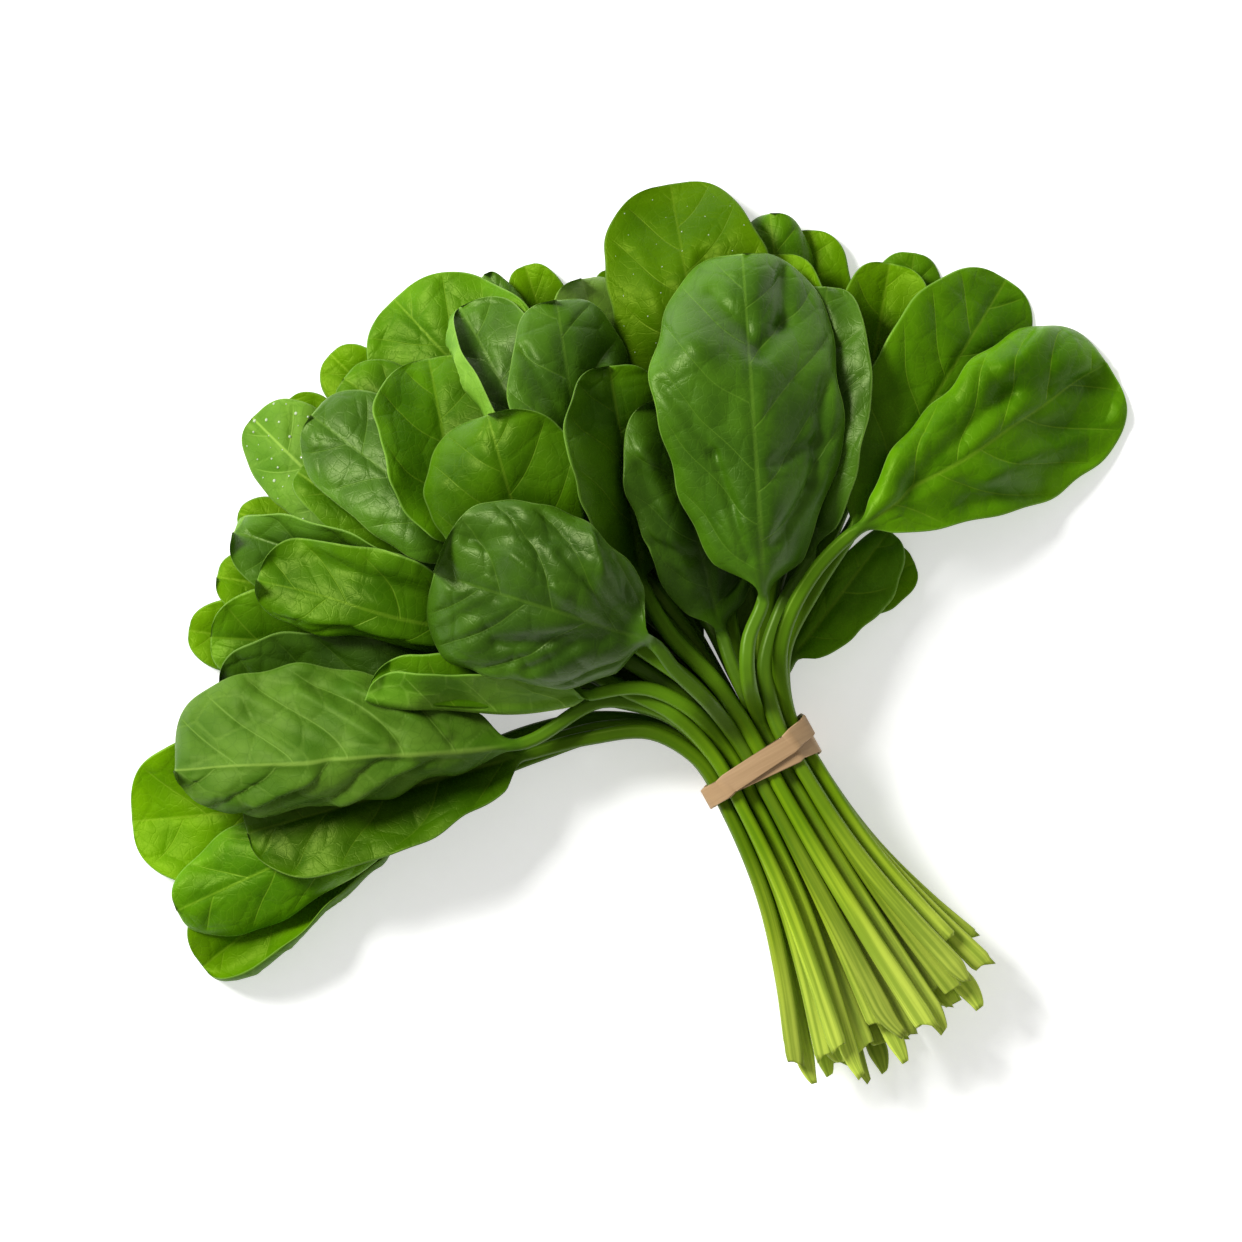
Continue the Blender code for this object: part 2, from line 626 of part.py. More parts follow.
def build_band(slots, finish, collection):
    rings = band_points(slots)
    stations, sides = rings.shape[:2]
    triangles = []
    for i in range(stations):
        following = (i + 1) % stations
        for j in range(sides):
            k = (j + 1) % sides
            a, b = i * sides + j, i * sides + k
            c, d = following * sides + k, following * sides + j
            triangles += [(a, b, c), (a, c, d)]
    return add_mesh("rubber_band", rings.reshape(-1, 3), triangles, finish, collection)


def stand_on_origin(objects, whole):
    """Turns the bunch and puts the origin under the middle of it, level with its lowest point."""
    turn = math.radians(TURN)
    points = np.array([vertex.co for obj in objects for vertex in obj.data.vertices])
    x = points[:, 0] * math.cos(turn) - points[:, 1] * math.sin(turn)
    y = points[:, 0] * math.sin(turn) + points[:, 1] * math.cos(turn)
    whole.rotation_euler = (0, 0, turn)
    whole.location = (-(x.min() + x.max()) / 2, -(y.min() + y.max()) / 2, -points[:, 2].min())


def main():
    clear_scene()
    collection = bpy.data.collections.new("spinach_bunch")
    bpy.context.scene.collection.children.link(collection)
    whole = bpy.data.objects.new("bunch", None)
    collection.objects.link(whole)
    finishes = {tone: material(tone, 0.6 if tone == "band" else 0.4) for tone in TONES}
    chance = random.Random(SEED)
    slots = band_slots()
    paths = stem_paths(slots, chance)
    heap = Heap()
    objects = [build_band(list(slots.values()), finishes["band"], collection)]
    for index, leaf in enumerate(LEAVES):
        rings = leaf_rings(leaf, paths[index], chance)
        triangles = loft(rings)
        points = lay(rings, triangles, heap)
        name = f"leaf_{index + 1:02d}"
        objects.append(add_mesh(name, points, triangles, finishes[leaf.tone], collection))
    for obj in objects:
        obj.parent = whole
    stand_on_origin(objects, whole)


main()
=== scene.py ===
# %% [markdown]
# # A bunch of spinach, tied with a rubber band
# The real thing is a heap of soft leaves on long stems, held by one band wound twice. The packed
# model gives each leaf as one solid of flat facets, and this file grows the fine leaf in its
# place: smooth, quilted between its veins, thin at its rim, and joined to its own grooved stem.

# %% Load the frame
import json
import math
import random
from collections import namedtuple
from itertools import product

import bpy
import numpy as np
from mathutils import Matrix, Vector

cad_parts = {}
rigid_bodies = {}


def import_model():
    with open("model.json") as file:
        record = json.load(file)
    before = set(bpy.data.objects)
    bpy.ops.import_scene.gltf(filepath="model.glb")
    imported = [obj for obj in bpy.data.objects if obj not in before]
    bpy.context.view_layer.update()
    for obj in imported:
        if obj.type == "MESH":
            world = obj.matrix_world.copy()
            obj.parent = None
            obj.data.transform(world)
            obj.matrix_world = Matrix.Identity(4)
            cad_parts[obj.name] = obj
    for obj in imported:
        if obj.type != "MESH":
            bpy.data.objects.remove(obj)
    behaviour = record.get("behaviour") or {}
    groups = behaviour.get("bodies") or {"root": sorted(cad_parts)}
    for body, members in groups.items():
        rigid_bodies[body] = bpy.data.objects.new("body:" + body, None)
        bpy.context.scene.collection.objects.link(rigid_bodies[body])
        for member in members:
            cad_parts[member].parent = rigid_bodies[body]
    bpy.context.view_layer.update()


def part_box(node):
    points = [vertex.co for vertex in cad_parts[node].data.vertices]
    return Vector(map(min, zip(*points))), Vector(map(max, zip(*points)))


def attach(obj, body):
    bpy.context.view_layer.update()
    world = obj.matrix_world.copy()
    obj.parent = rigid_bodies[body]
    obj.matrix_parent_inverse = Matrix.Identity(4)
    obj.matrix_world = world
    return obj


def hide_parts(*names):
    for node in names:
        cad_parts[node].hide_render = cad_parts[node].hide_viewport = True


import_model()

# %% [markdown]
# ## Sizes
# Everything is worked out in millimetres on a plan: the bunch seen from above, with its zero at
# the middle of the band, as it is easy to measure leaves there. One turn and one shift then put
# the plan into the frame. The alternative, working in the frame at once, would mean turning every
# measured place by hand. These values are the ones that the solids were made from.

# %% Driving sizes
MM = 0.001
STEM_HEADING = 119.0
TURN = math.radians(90.0 - STEM_HEADING)
STEM_RADIUS = 1.7
STEM_PITCH = 4.0
ROW_PITCH = 3.8
COLUMN_SIZES = (4, 6, 6, 7, 7, 6, 6, 4)
COLUMN_STARTS = (2, 1, 0, 0, 0, 0, 1, 2)
BAND_WIDTH = 6.0
BAND_THICKNESS = 0.9
BAND_GAP = 0.3
BAND_LAYER = BAND_THICKNESS + 0.2
SIDE_BY_SIDE = math.radians(-45)
STRAIGHT = 9.0
TAIL_LENGTH = 87.0
TAIL_SPREAD = 2.25
TAIL_ROUNDING = 0.009
TAIL_WANDER = 1.1
TAIL_UNEVEN = 12.0
TAIL_STATIONS = (58.0, 33.0)
GOLDEN_SHARE = 0.618
HELD = len(TAIL_STATIONS) + 2
STEM_SPAN = 17.0
FAN_CENTRE = 20.0
FAN_PITCH = 4.6
FAN_STATIONS = (1, 2, 3)
SEED = 11
LOWEST_ROW = STEM_RADIUS + BAND_GAP + BAND_LAYER + BAND_THICKNESS
HEADING = np.array([math.cos(math.radians(STEM_HEADING)), math.sin(math.radians(STEM_HEADING))])
ACROSS = np.array([HEADING[1], -HEADING[0]])

# %% [markdown]
# ## The leaves
# Each row is one leaf, from the bottom of the heap to the top. base and tip are the ends of the
# blade's midrib on the plan, half is how wide its left and right halves are when flat, and left
# and right say how far each half leans up at the midrib and at its edge, in degrees. An edge past
# 90 degrees is folded over. face is -1 where the paler, ribbed underside lies up.

# %% The table of leaves
Leaf = namedtuple(
    "Leaf",
    "base tip half left right rise arch bow face tone taper",
    defaults=((5, 20), (5, 20), None, 5, 0, 1, "mid", 0.55),
)

LEAVES = (
    Leaf((-19, 27), (-68, 94), (21, 21), (0, 0), (0, 0), (1, 1), 0, 0, -1, "under"),
    Leaf((1, 31), (-5, 124), (20, 20), (0, 6), (0, 6), (1, 1), 0, 0, -1, "under"),
    Leaf((-52, 28), (-120, 58), (19, 19), (0, 6), (0, 6), (1, 1), 0, 0, -1, "under"),
    Leaf((-94, -6), (-157, -57), (24, 19), (-5, 125), (5, 20), (5, 2), 6, tone="bright"),
    Leaf((8, 42), (44, 57), (10, 10), (5, 20), (5, 20), (6, 4), 3, tone="bright"),
    Leaf((9, 30), (37, 66), (6, 12), (-10, -20), (5, 20), (6, 5), 2, tone="dark"),
    Leaf((-100, -9), (-177, -16), (22, 24), (0, 18), (0, 18), (8, 6), 5, tone="bright"),
    Leaf((-92, 28), (-161, 38), (12, 12), (5, 20), (5, 20), (8, 5), 4, tone="bright"),
    Leaf((14, 90), (14, 151), (12, 13), (5, 20), (5, 15), (8, 6), 4, tone="bright"),
    Leaf((-34, 95), (-42, 140), (7, 7), (5, 25), (5, 25), (8, 6), 3, tone="bright"),
    Leaf((-100, 66), (-133, 103), (9, 10), (5, 20), (5, 20), (8, 5), 3, tone="bright"),
    Leaf((-93, -8), (-164, -41), (16, 16), (-5, -45), (-5, -40), (14, 8), 5, tone="mid"),
    Leaf((-90, 44), (-153, 53), (12, 12), (5, 20), (5, 20), (8, 6), 3, tone="bright"),
    Leaf((-100, 58), (-147, 71), (8, 8), (5, 20), (5, 20), (9, 6), 3, tone="bright"),
    Leaf((-82, 78), (-121, 116), (11, 11), (5, 15), (5, 15), (9, 6), 3, tone="bright"),
    Leaf((-50, 92), (-66, 141), (9, 10), (5, 15), (5, 15), (9, 6), 3, tone="bright"),
    Leaf((34, 86), (44, 144.5), (13, 12), (0, -20), (0, -25), (10, 8), 4, tone="mid"),
    Leaf((-66, 3), (-144, -19), (20, 20), (10, 50), (10, 30), (14, 14), 2, tone="mid"),
    Leaf((-52, 95), (-78, 138), (8, 8), (30, 60), (-20, -50), (11, 9), 3, tone="dark"),
    Leaf((-84, 32), (-154.5, 36), (15, 17), (5, 30), (5, 30), (12, 12), 3, tone="mid"),
    Leaf((-104, 60), (-143, 98), (13, 16), (-5, -25), (0, -20), (14, 12), 5, face=-1, tone="pale"),
    Leaf((10, 92), (3, 155.5), (13, 15), (-10, -60), (-10, -60), (12, 12), 4, tone="mid"),
    Leaf((-48, 72), (-103, 131.5), (23, 26), (5, 15), (5, 15), (14, 12), 4, tone="mid"),
    Leaf((-74, 20), (-152, 20.5), (19, 20), (10, 35), (15, 45), (15, 18), 0, tone="dark"),
    Leaf((-98, 60), (-130, 82.5), (8, 9), (5, 20), (5, 20), (16, 14), 3, tone="mid"),
    Leaf((-72, 76), (-117, 109), (12, 14), (0, -20), (0, -20), (16, 14), 4, tone="mid"),
    Leaf((-86, 50), (-148, 65.5), (15, 15), (0, -30), (45, 70), (18, 18), 3, tone="dark"),
    Leaf((-36, 84), (-50, 137), (13, 13), (5, 15), (5, 15), (16, 14), 3, tone="pale"),
    Leaf((27, 84), (37, 141.5), (15, 15), (10, 35), (10, 35), (16, 15), 2, tone="bright"),
    Leaf((-68, 6), (-164, -1), (28, 27), (-45, -75), (0, -18), (20, 22), 5, 0, -1, "pale", 0.75),
    Leaf((8, 82), (4, 143.8), (15, 16), (5, 20), (5, 20), (18, 16), 3, tone="bright"),
    Leaf((-70, 56), (-126, 98.5), (17, 19), (-5, -30), (-5, -25), (20, 20), 6, tone="dark"),
    Leaf((-13, 92), (-25, 164), (23, 23), (0, 15), (0, 12), (20, 20), 4, tone="bright"),
    Leaf((26, 66), (70, 137), (21, 18), (5, 20), (0, -10), (22, 22), 5, tone="mid"),
    Leaf((-82, 60), (-93, 114.5), (22, 21), (15, 50), (5, 15), (22, 22), 4, tone="mid"),
    Leaf((-70, 34), (-141, 52), (18, 18), (-45, -70), (5, 35), (24, 24), 4, tone="mid"),
    Leaf((-58, 80), (-84, 129), (24, 17), (-10, 150), (5, 10), (24, 24), 4, tone="dark"),
    Leaf((14, 60), (19, 134.5), (15, 14), (5, 10), (0, 20), (24, 24), 4, tone="dark"),
    Leaf((-47, 20), (-110, 20), (16, 17), (125, 140), (0, 25), (26, 25), 2, 5, tone="mid"),
    Leaf((-47, 66), (-57, 130.5), (18, 18), (-5, -35), (-5, -25), (26, 26), 6, tone="dark"),
    Leaf((-62, 48), (-76, 98), (23, 21), (0, -15), (0, 15), (28, 28), 6, tone="mid"),
    Leaf((27, 66), (98.5, 113), (25, 24), (25, -55), (-35, 15), (28, 26), 7, 0, 1, "dark", 0.85),
    Leaf((-33, 52), (-42, 112), (19, 17), (20, 55), (5, 10), (30, 30), 4, tone="mid"),
    Leaf((-11, 38), (-27, 103), (18, 18), (-5, -40), (0, -10), (32, 32), 4, tone="dark"),
    Leaf((-31, 35), (-91, 54), (26, 30), (0, -45), (-5, -35), (36, 34), 8, tone="dark"),
    Leaf((1, 48), (-5, 143.5), (29, 28), (-5, -40), (-5, -45), (38, 36), 10, tone="dark"),
)
print("leaves", len(LEAVES))

# %% [markdown]
# ## Where the stems run
# In the band the stems stand in columns, side by side. A leaf's column follows from the side that
# it leaves to, and its level from its place in the heap, so stems don't have to cross in the
# band. Past it they fan out, each column in its own sector. The path of a stem is a cubic that
# leaves the band straight and meets the blade along its midrib, which is how a bent stem looks.


# %% The way from the band to a blade
def in_space(plan, height):
    return np.array([plan[0], plan[1], height])


def hermite(start, leave, end, arrive, share):
    t = np.asarray(share, float)[:, None]
    return (
        (2 * t**3 - 3 * t**2 + 1) * start
        + (t**3 - 2 * t**2 + t) * leave
        + (3 * t**2 - 2 * t**3) * end
        + (t**3 - t**2) * arrive
    )


def midrib_point(leaf, share):
    """Points on the blade's midrib, from its base at 0 to its tip at 1."""
    u = np.asarray(share, float)[:, None]
    base = in_space(leaf.base, leaf.rise[0])
    tip = in_space(leaf.tip, leaf.rise[1])
    along = np.array(leaf.tip) - np.array(leaf.base)
    left = np.array([-along[1], along[0]]) / np.linalg.norm(along)
    bend = in_space(left * leaf.bow, leaf.arch)
    return base + (tip - base) * u + bend * 4 * u * (1 - u)


def growing_stem(leaf, slot):
    leaving = in_space(ACROSS * slot.offset + HEADING * STRAIGHT, slot.height)
    start, ahead = midrib_point(leaf, (0.0, 0.01))
    way_in = (ahead - start) / np.linalg.norm(ahead - start)
    distance = np.linalg.norm(start - leaving)
    spans = max(3, round(distance / STEM_SPAN))
    share = np.linspace(0, 1, spans + 1)
    return hermite(leaving, in_space(HEADING, 0) * distance, start, way_in * distance, share)


# %% A place in the band for each stem
Slot = namedtuple("Slot", "column level offset height")


def bearing(point):
    way = np.array(point[:2]) + HEADING * FAN_CENTRE
    return math.atan2(way @ ACROSS, way @ HEADING)


def band_slots():
    in_order = sorted(range(len(LEAVES)), key=lambda index: bearing(LEAVES[index].base))
    slots, first = {}, 0
    for column, (size, start) in enumerate(zip(COLUMN_SIZES, COLUMN_STARTS)):
        offset = (column - (len(COLUMN_SIZES) - 1) / 2) * STEM_PITCH
        for level, index in enumerate(sorted(in_order[first:first + size]), start):
            slots[index] = Slot(column, level, offset, LOWEST_ROW + level * ROW_PITCH)
        first += size
    return slots


# %% The cut stems behind the band
def tail_share(distance):
    """How far the cut stems have sunk and spread at a distance behind the band."""
    t = (distance - STRAIGHT) / (TAIL_LENGTH - STRAIGHT)
    return t * t * (3 - t) / 2


def cut_stem(slot, chance):
    beside = (slot.level * GOLDEN_SHARE % 1 - 0.5) * STEM_PITCH * TAIL_SPREAD
    wander = beside + chance.uniform(-TAIL_WANDER, TAIL_WANDER)
    longest = TAIL_LENGTH - TAIL_ROUNDING * (slot.offset * TAIL_SPREAD) ** 2
    reach = longest - chance.uniform(0, TAIL_UNEVEN)
    tail = []
    for distance in (reach, *TAIL_STATIONS, STRAIGHT):
        share = tail_share(distance)
        sideways = slot.offset * (1 + (TAIL_SPREAD - 1) * share) + wander * share
        sunk = slot.height - (LOWEST_ROW - STEM_RADIUS) * share
        tail.append(in_space(ACROSS * sideways - HEADING * distance, sunk))
    return np.array(tail)


# %% The fan
def spread_apart(angles, least):
    angles = list(angles)
    for _ in range(200):
        for k in range(len(angles) - 1):
            lack = least - (angles[k + 1] - angles[k])
            if lack > 0:
                angles[k] -= lack / 2
                angles[k + 1] += lack / 2
    return angles


def turned_to(point, angle):
    turn = bearing(point) - angle
    way = point[:2] + HEADING * FAN_CENTRE
    turned = np.array([
        way[0] * math.cos(turn) - way[1] * math.sin(turn),
        way[0] * math.sin(turn) + way[1] * math.cos(turn),
    ])
    return in_space(turned - HEADING * FAN_CENTRE, point[2])


def fan_out(columns, station):
    """Keeps each column of stems to its own sector of the fan at one station."""
    radius = np.mean([
        np.linalg.norm(stem[station][:2] + HEADING * FAN_CENTRE) for column in columns for stem in column
    ])
    least = FAN_PITCH / radius
    before = [np.mean([bearing(stem[station]) for stem in column]) for column in columns]
    after = spread_apart(before, least)
    edges = [-math.pi] + [(a + b) / 2 for a, b in zip(after, after[1:])] + [math.pi]
    for k, column in enumerate(columns):
        low = min(edges[k] + least / 2, after[k])
        high = max(edges[k + 1] - least / 2, after[k])
        for stem in column:
            angle = after[k] + bearing(stem[station]) - before[k]
            stem[station] = turned_to(stem[station], min(max(angle, low), high))


def stem_paths(slots, chance):
    stems = {index: growing_stem(LEAVES[index], slot) for index, slot in slots.items()}
    for station in FAN_STATIONS:
        columns = [
            [stems[index] for index, slot in slots.items()
             if slot.column == column and len(stems[index]) > station + 1]
            for column in range(len(COLUMN_SIZES))
        ]
        fan_out([column for column in columns if column], station)
    return {
        index: np.vstack([cut_stem(slots[index], chance), stems[index][:-1]]) for index in range(len(LEAVES))
    }


chance = random.Random(SEED)
slots = band_slots()
paths = stem_paths(slots, chance)
print("stem stations", min(map(len, paths.values())), "to", max(map(len, paths.values())))

# %% [markdown]
# ## The band
# A produce band is a flat loop of tan rubber, here wound twice. Pulled tight it takes the shortest
# way round the outermost stems: straight between them and round on them. That way needs no
# simulation: facing any angle, the loop touches the stem that reaches furthest that way. Its two
# turns lie on each other at the left and part towards the right, as a band rolled on by hand does.


# %% The tight loop
def taut_point(around, away):
    facing = np.array([math.cos(around), math.sin(around)])
    outermost = max(slots.values(), key=lambda slot: facing @ (slot.offset, slot.height))
    return np.array([outermost.offset, outermost.height]) + facing * (STEM_RADIUS + BAND_GAP + away)


def winding(stations):
    """What each station faces, and how far it is round the double loop, in radians by length."""
    first = SIDE_BY_SIDE + 2 * math.pi / 96
    facings = [first + index * 4 * math.pi / stations for index in range(stations // 2)]
    turn = np.array([taut_point(around, 0) for around in facings])
    runs = np.linalg.norm(np.roll(turn, -1, axis=0) - turn, axis=1)
    reach = 2 * math.pi * (np.cumsum(runs) - runs) / runs.sum()
    return facings * 2, np.concatenate([reach, reach + 2 * math.pi])


def band_rings(stations, section):
    """Rings round the double loop. section holds (depth, edge): 0 to 1 outwards, -1 to 1 across."""
    rings = []
    for around, wind in zip(*winding(stations)):
        half_turn = math.cos(wind / 2)
        aside = (BAND_WIDTH / 2 + 0.15) * math.copysign(abs(half_turn) ** 3, half_turn)
        layer = BAND_LAYER * (0.5 + 0.5 * max(-1.0, min(1.0, 5 * math.sin(wind / 2))))
        ring = []
        for depth, edge in section:
            sideways, height = taut_point(around, layer + depth * BAND_THICKNESS)
            forward = aside + math.cos(around) + edge * BAND_WIDTH / 2
            ring.append(in_space(ACROSS * sideways + HEADING * forward, height))
        rings.append(ring)
    return np.array(rings)


# %% From the plan to the frame
def turned(points):
    x = points[..., 0] * math.cos(TURN) - points[..., 1] * math.sin(TURN)
    y = points[..., 0] * math.sin(TURN) + points[..., 1] * math.cos(TURN)
    return np.stack([x, y, points[..., 2]], axis=-1)


coarse_band = turned(band_rings(96, ((1, -1), (1, 1), (0, 1), (0, -1)))).reshape(-1, 3)
SHIFT = np.array(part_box("rubber_band")[0]) / MM - coarse_band.min(axis=0)
print("plan to frame", SHIFT.round(2), "mm")


def to_frame(points):
    return (turned(points) + SHIFT) * MM


def to_plan(points):
    x, y, height = (points / MM - SHIFT).T
    return np.column_stack([
        x * math.cos(TURN) + y * math.sin(TURN), y * math.cos(TURN) - x * math.sin(TURN), height
    ])


# %% [markdown]
# ## The surface of a blade
# A spinach blade is about half a millimetre thick. Its two halves lean from the midrib, and each
# is curved like a strip bent along its length, so a section across the blade is two arcs. The
# relief on it comes from growth: between the veins the blade grows faster than the veins do, so
# it domes up there, and the veins lie in grooves above and stand out below. Sculpting that by hand
# would never be finished for 46 leaves, so a smooth rule gives it all, with a mood for each leaf.

# %% The skin in the middle of a blade
BLADE_STATIONS = np.array((0.0, 0.06, 0.16, 0.29, 0.43, 0.58, 0.73, 0.86, 0.95, 0.99, 1.0))
BLADE_COLUMNS = np.array((-1.0, -0.5, 0.0, 0.5, 1.0))
TIP_TAPER = 0.35
WAVES_ALONG = 2.5
WAVE_HEIGHT = 0.045


def blade_share(leaf, u):
    widest = leaf.taper / (leaf.taper + TIP_TAPER)
    return (u / widest) ** leaf.taper * ((1 - u) / (1 - widest)) ** TIP_TAPER


def blade_skin(leaf, u, c, waves, outline, narrowest, soft):
    """Points and normals of the middle skin, sideways and upward, and how far each lies from the midrib."""
    side = np.where(c < 0, 1.0, -1.0)
    full = np.where(c < 0, leaf.half[0], leaf.half[1])
    first = np.radians(np.where(c < 0, leaf.left[0], leaf.right[0]))
    last = np.radians(np.where(c < 0, leaf.left[1], leaf.right[1]))
    turn = np.where(np.abs(last - first) < 1e-4, 1e-4, last - first)
    slope = first + turn * np.abs(c)
    width = np.maximum(narrowest, full * blade_share(leaf, u) * outline)
    radius = width / turn
    sideways = radius * (np.sin(slope) - np.sin(first))
    upward = radius * (np.cos(first) - np.cos(slope))
    wave = np.sin(2 * math.pi * WAVES_ALONG * u + np.where(c < 0, waves[0], waves[1]))
    upward = upward + WAVE_HEIGHT * full * c**2 * blade_share(leaf, u) * wave
    away = width * np.abs(c)
    near = np.clip(1 - away / soft, 0, 1)
    lean = slope * side * (1 - near) + math.radians(leaf.left[0] - leaf.right[0]) / 2 * near
    skin = np.stack([sideways * side, upward], axis=-1)
    normal = np.stack([-np.sin(lean), np.cos(lean)], axis=-1)
    return skin, normal, away, width


# %% Veins, and the cells between them
VEIN_SPACING = 16.0
VEIN_LEAN = 0.8
VEIN_BEND = 0.012
CELL_SIZE = 11.0
SCATTER = ((127.1, 311.7), (269.5, 183.3))
SHUFFLE = 4375.85
FAR = 1e3


def vein_phase(s, t, moods):
    """Counts side veins. They bend towards the tip, and those of the two halves don't face each other."""
    wobble = 1.8 * np.sin(0.07 * s + 0.13 * t + moods[0]) + 0.9 * np.sin(0.21 * t - 0.12 * s + moods[1])
    half = np.where(t < 0, 0.0, 0.42 + 0.1 * math.sin(moods[1]))
    return (s - VEIN_LEAN * np.abs(t) - VEIN_BEND * t**2 + wobble) / VEIN_SPACING + half + moods[2]


def cell_border(x, y, mood):
    """How far a point is inside its cell: 0 on the net between irregular cells of about one size."""
    column, row = np.floor(x / CELL_SIZE), np.floor(y / CELL_SIZE)
    nearest, second = np.full(x.shape, FAR), np.full(x.shape, FAR)
    for i, j in product((-1, 0, 1), repeat=2):
        a, b = column + i, row + j
        jump_x, jump_y = (np.modf(np.abs(np.sin(p * a + q * b + mood)) * SHUFFLE)[0] for p, q in SCATTER)
        distance = np.hypot((a + jump_x) * CELL_SIZE - x, (b + jump_y) * CELL_SIZE - y)
        second = np.minimum(second, np.maximum(nearest, distance))
        nearest = np.minimum(nearest, distance)
    return second - nearest


# %% The relief that growth gives
DOME, PILLOW, GROOVE, CRIMPS = 0.9, 0.5, 0.45, 0.08
RUFFLE = 0.6
BROAD = 1.25


def relief(s, t, edge, phase, net, moods, quilting):
    """How far the skin stands out of the smooth blade, in millimetres."""
    between = phase - np.floor(phase)
    near_vein = np.minimum(between, 1 - between) * VEIN_SPACING * 0.7
    from_midrib, from_base = np.abs(t), np.clip(s / 20, 0, 1)
    fine = (
        DOME * np.sin(math.pi * between) ** 0.9
        + PILLOW * (1 - np.exp(-net / 2.2))
        - GROOVE * np.exp(-((near_vein / 0.8) ** 2))
        + CRIMPS * np.sin(1.7 * s + 1.5 * np.sin(0.5 * t + moods[3])) * np.exp(-near_vein / 1.6)
    )
    fade = np.clip(edge / 4, 0, 1) * np.clip(from_midrib / 3, 0, 1) * np.clip(s / 12, 0, 1)
    ruffle = RUFFLE * np.sin(0.36 * s + moods[0] + 2 * np.sign(t)) * np.exp(-edge / 4)
    ruffle = ruffle * np.clip(from_midrib / 6, 0, 1)
    broad = np.sin(0.085 * s + moods[4]) * np.sin(0.12 * t + moods[5])
    broad = BROAD * (broad + 0.5 * np.sin(0.17 * s - 0.15 * t + moods[6]))
    return quilting * (fade * fine + ruffle * from_base) + broad * from_base


# %% Creases that single leaves have
# Each row runs from one point to another, both measured along the midrib and across it. Its width
# and height follow, and a height below 0 is a furrow.
CREASES = {
    46: (
        ((4, 0), (64, 2), 8.0, 3.0), ((68, 3), (84, -9), 3.0, -2.3), ((68, 3), (75, 11), 2.8, -2.0),
        ((75, 11), (90, 12), 2.6, -1.8), ((60, -8), (78, -20), 6.0, 2.2), ((84, 2), (92, 2), 5.0, 1.8),
        ((10, -3), (40, -12), 1.6, -1.5), ((40, -12), (60, -26), 1.8, -1.4),
        ((14, 3), (30, 16), 1.6, -1.6), ((36, 4), (42, 20), 1.8, -1.5), ((30, 16), (58, 22), 2.2, -1.4),
    ),
    45: (
        ((8, 3), (30, 16), 2.2, -2.0), ((12, -3), (40, -14), 2.4, -1.8), ((26, 4), (44, 10), 1.8, 1.6),
        ((20, -8), (30, -20), 1.8, -1.4), ((44, -2), (56, -14), 2.4, -1.6), ((18, 14), (24, 24), 1.6, 1.4),
        ((34, 20), (56, 12), 2.4, -1.5), ((10, 10), (16, 20), 1.4, -1.3),
    ),
    42: (
        ((20, -2), (56, -10), 4.0, -3.2), ((56, -10), (82, 4), 4.5, -2.8), ((40, 8), (80, 16), 4.0, 2.4),
        ((60, -14), (76, -16), 3.0, 2.0), ((30, 12), (50, 20), 2.6, -1.6),
    ),
    30: (
        ((20, 4), (44, 18), 2.4, 2.2), ((36, 3), (60, 20), 2.4, 2.0), ((30, -4), (50, -18), 2.6, 1.8),
        ((52, 2), (74, 14), 3.0, -2.0), ((48, 22), (70, 22), 3.0, -1.8), ((58, -4), (74, -14), 2.4, 1.6),
    ),
    44: (
        ((10, 4), (20, 14), 1.8, -2.0), ((22, -3), (28, -14), 1.8, -2.2), ((30, 3), (36, 14), 1.8, -2.0),
        ((44, -2), (50, -12), 2.0, -1.8), ((14, -4), (54, -8), 2.6, 1.8),
    ),
    40: (((24, 4), (44, 12), 2.4, 1.6), ((30, -3), (52, -12), 2.4, -1.6)),
    33: (((20, 2), (50, 6), 3.0, -1.4), ((30, -10), (56, -12), 4.0, 1.4)),
    36: (((14, -4), (60, -8), 3.0, 1.8), ((20, 6), (58, 10), 3.0, -1.6)),
}


def crease_relief(number, s, t):
    height = 0 * (s + t)
    for start, end, width, rise in CREASES.get(number, ()):
        way = np.subtract(end, start)
        along = np.clip(((s - start[0]) * way[0] + (t - start[1]) * way[1]) / (way @ way), 0, 1)
        distance = np.hypot(s - start[0] - along * way[0], t - start[1] - along * way[1])
        height = height + rise * np.exp(-((distance / width) ** 2))
    return height


# %% The whole blade as a grid of points
BLADE_THICKNESS = 0.55
RIM_THICKNESS = 0.25
WIDTH_FLOOR = 0.2
ROUND_SHARE = 0.1
FILLER_ROUND_SHARE = 0.03
RIM_REACH = 2.0
RIB_NARROWEST, RIB_WIDER = 0.9, 1.0
RIB_RISE, RIB_TIP = 1.1, 0.04
FURROW_DEPTH, FURROW_WIDTH = 0.5, 1.1
OUTLINE_WAVES = ((0.03, 2.2, 1), (0.012, 5.3, 2))


def ring_of(count, radius):
    """A round section, its points in a blade's order: from the left over the top and back below."""
    angle = math.pi - (np.arange(count) + 0.5) / count * 2 * math.pi
    return np.column_stack([-np.cos(angle), np.sin(angle)]) * radius


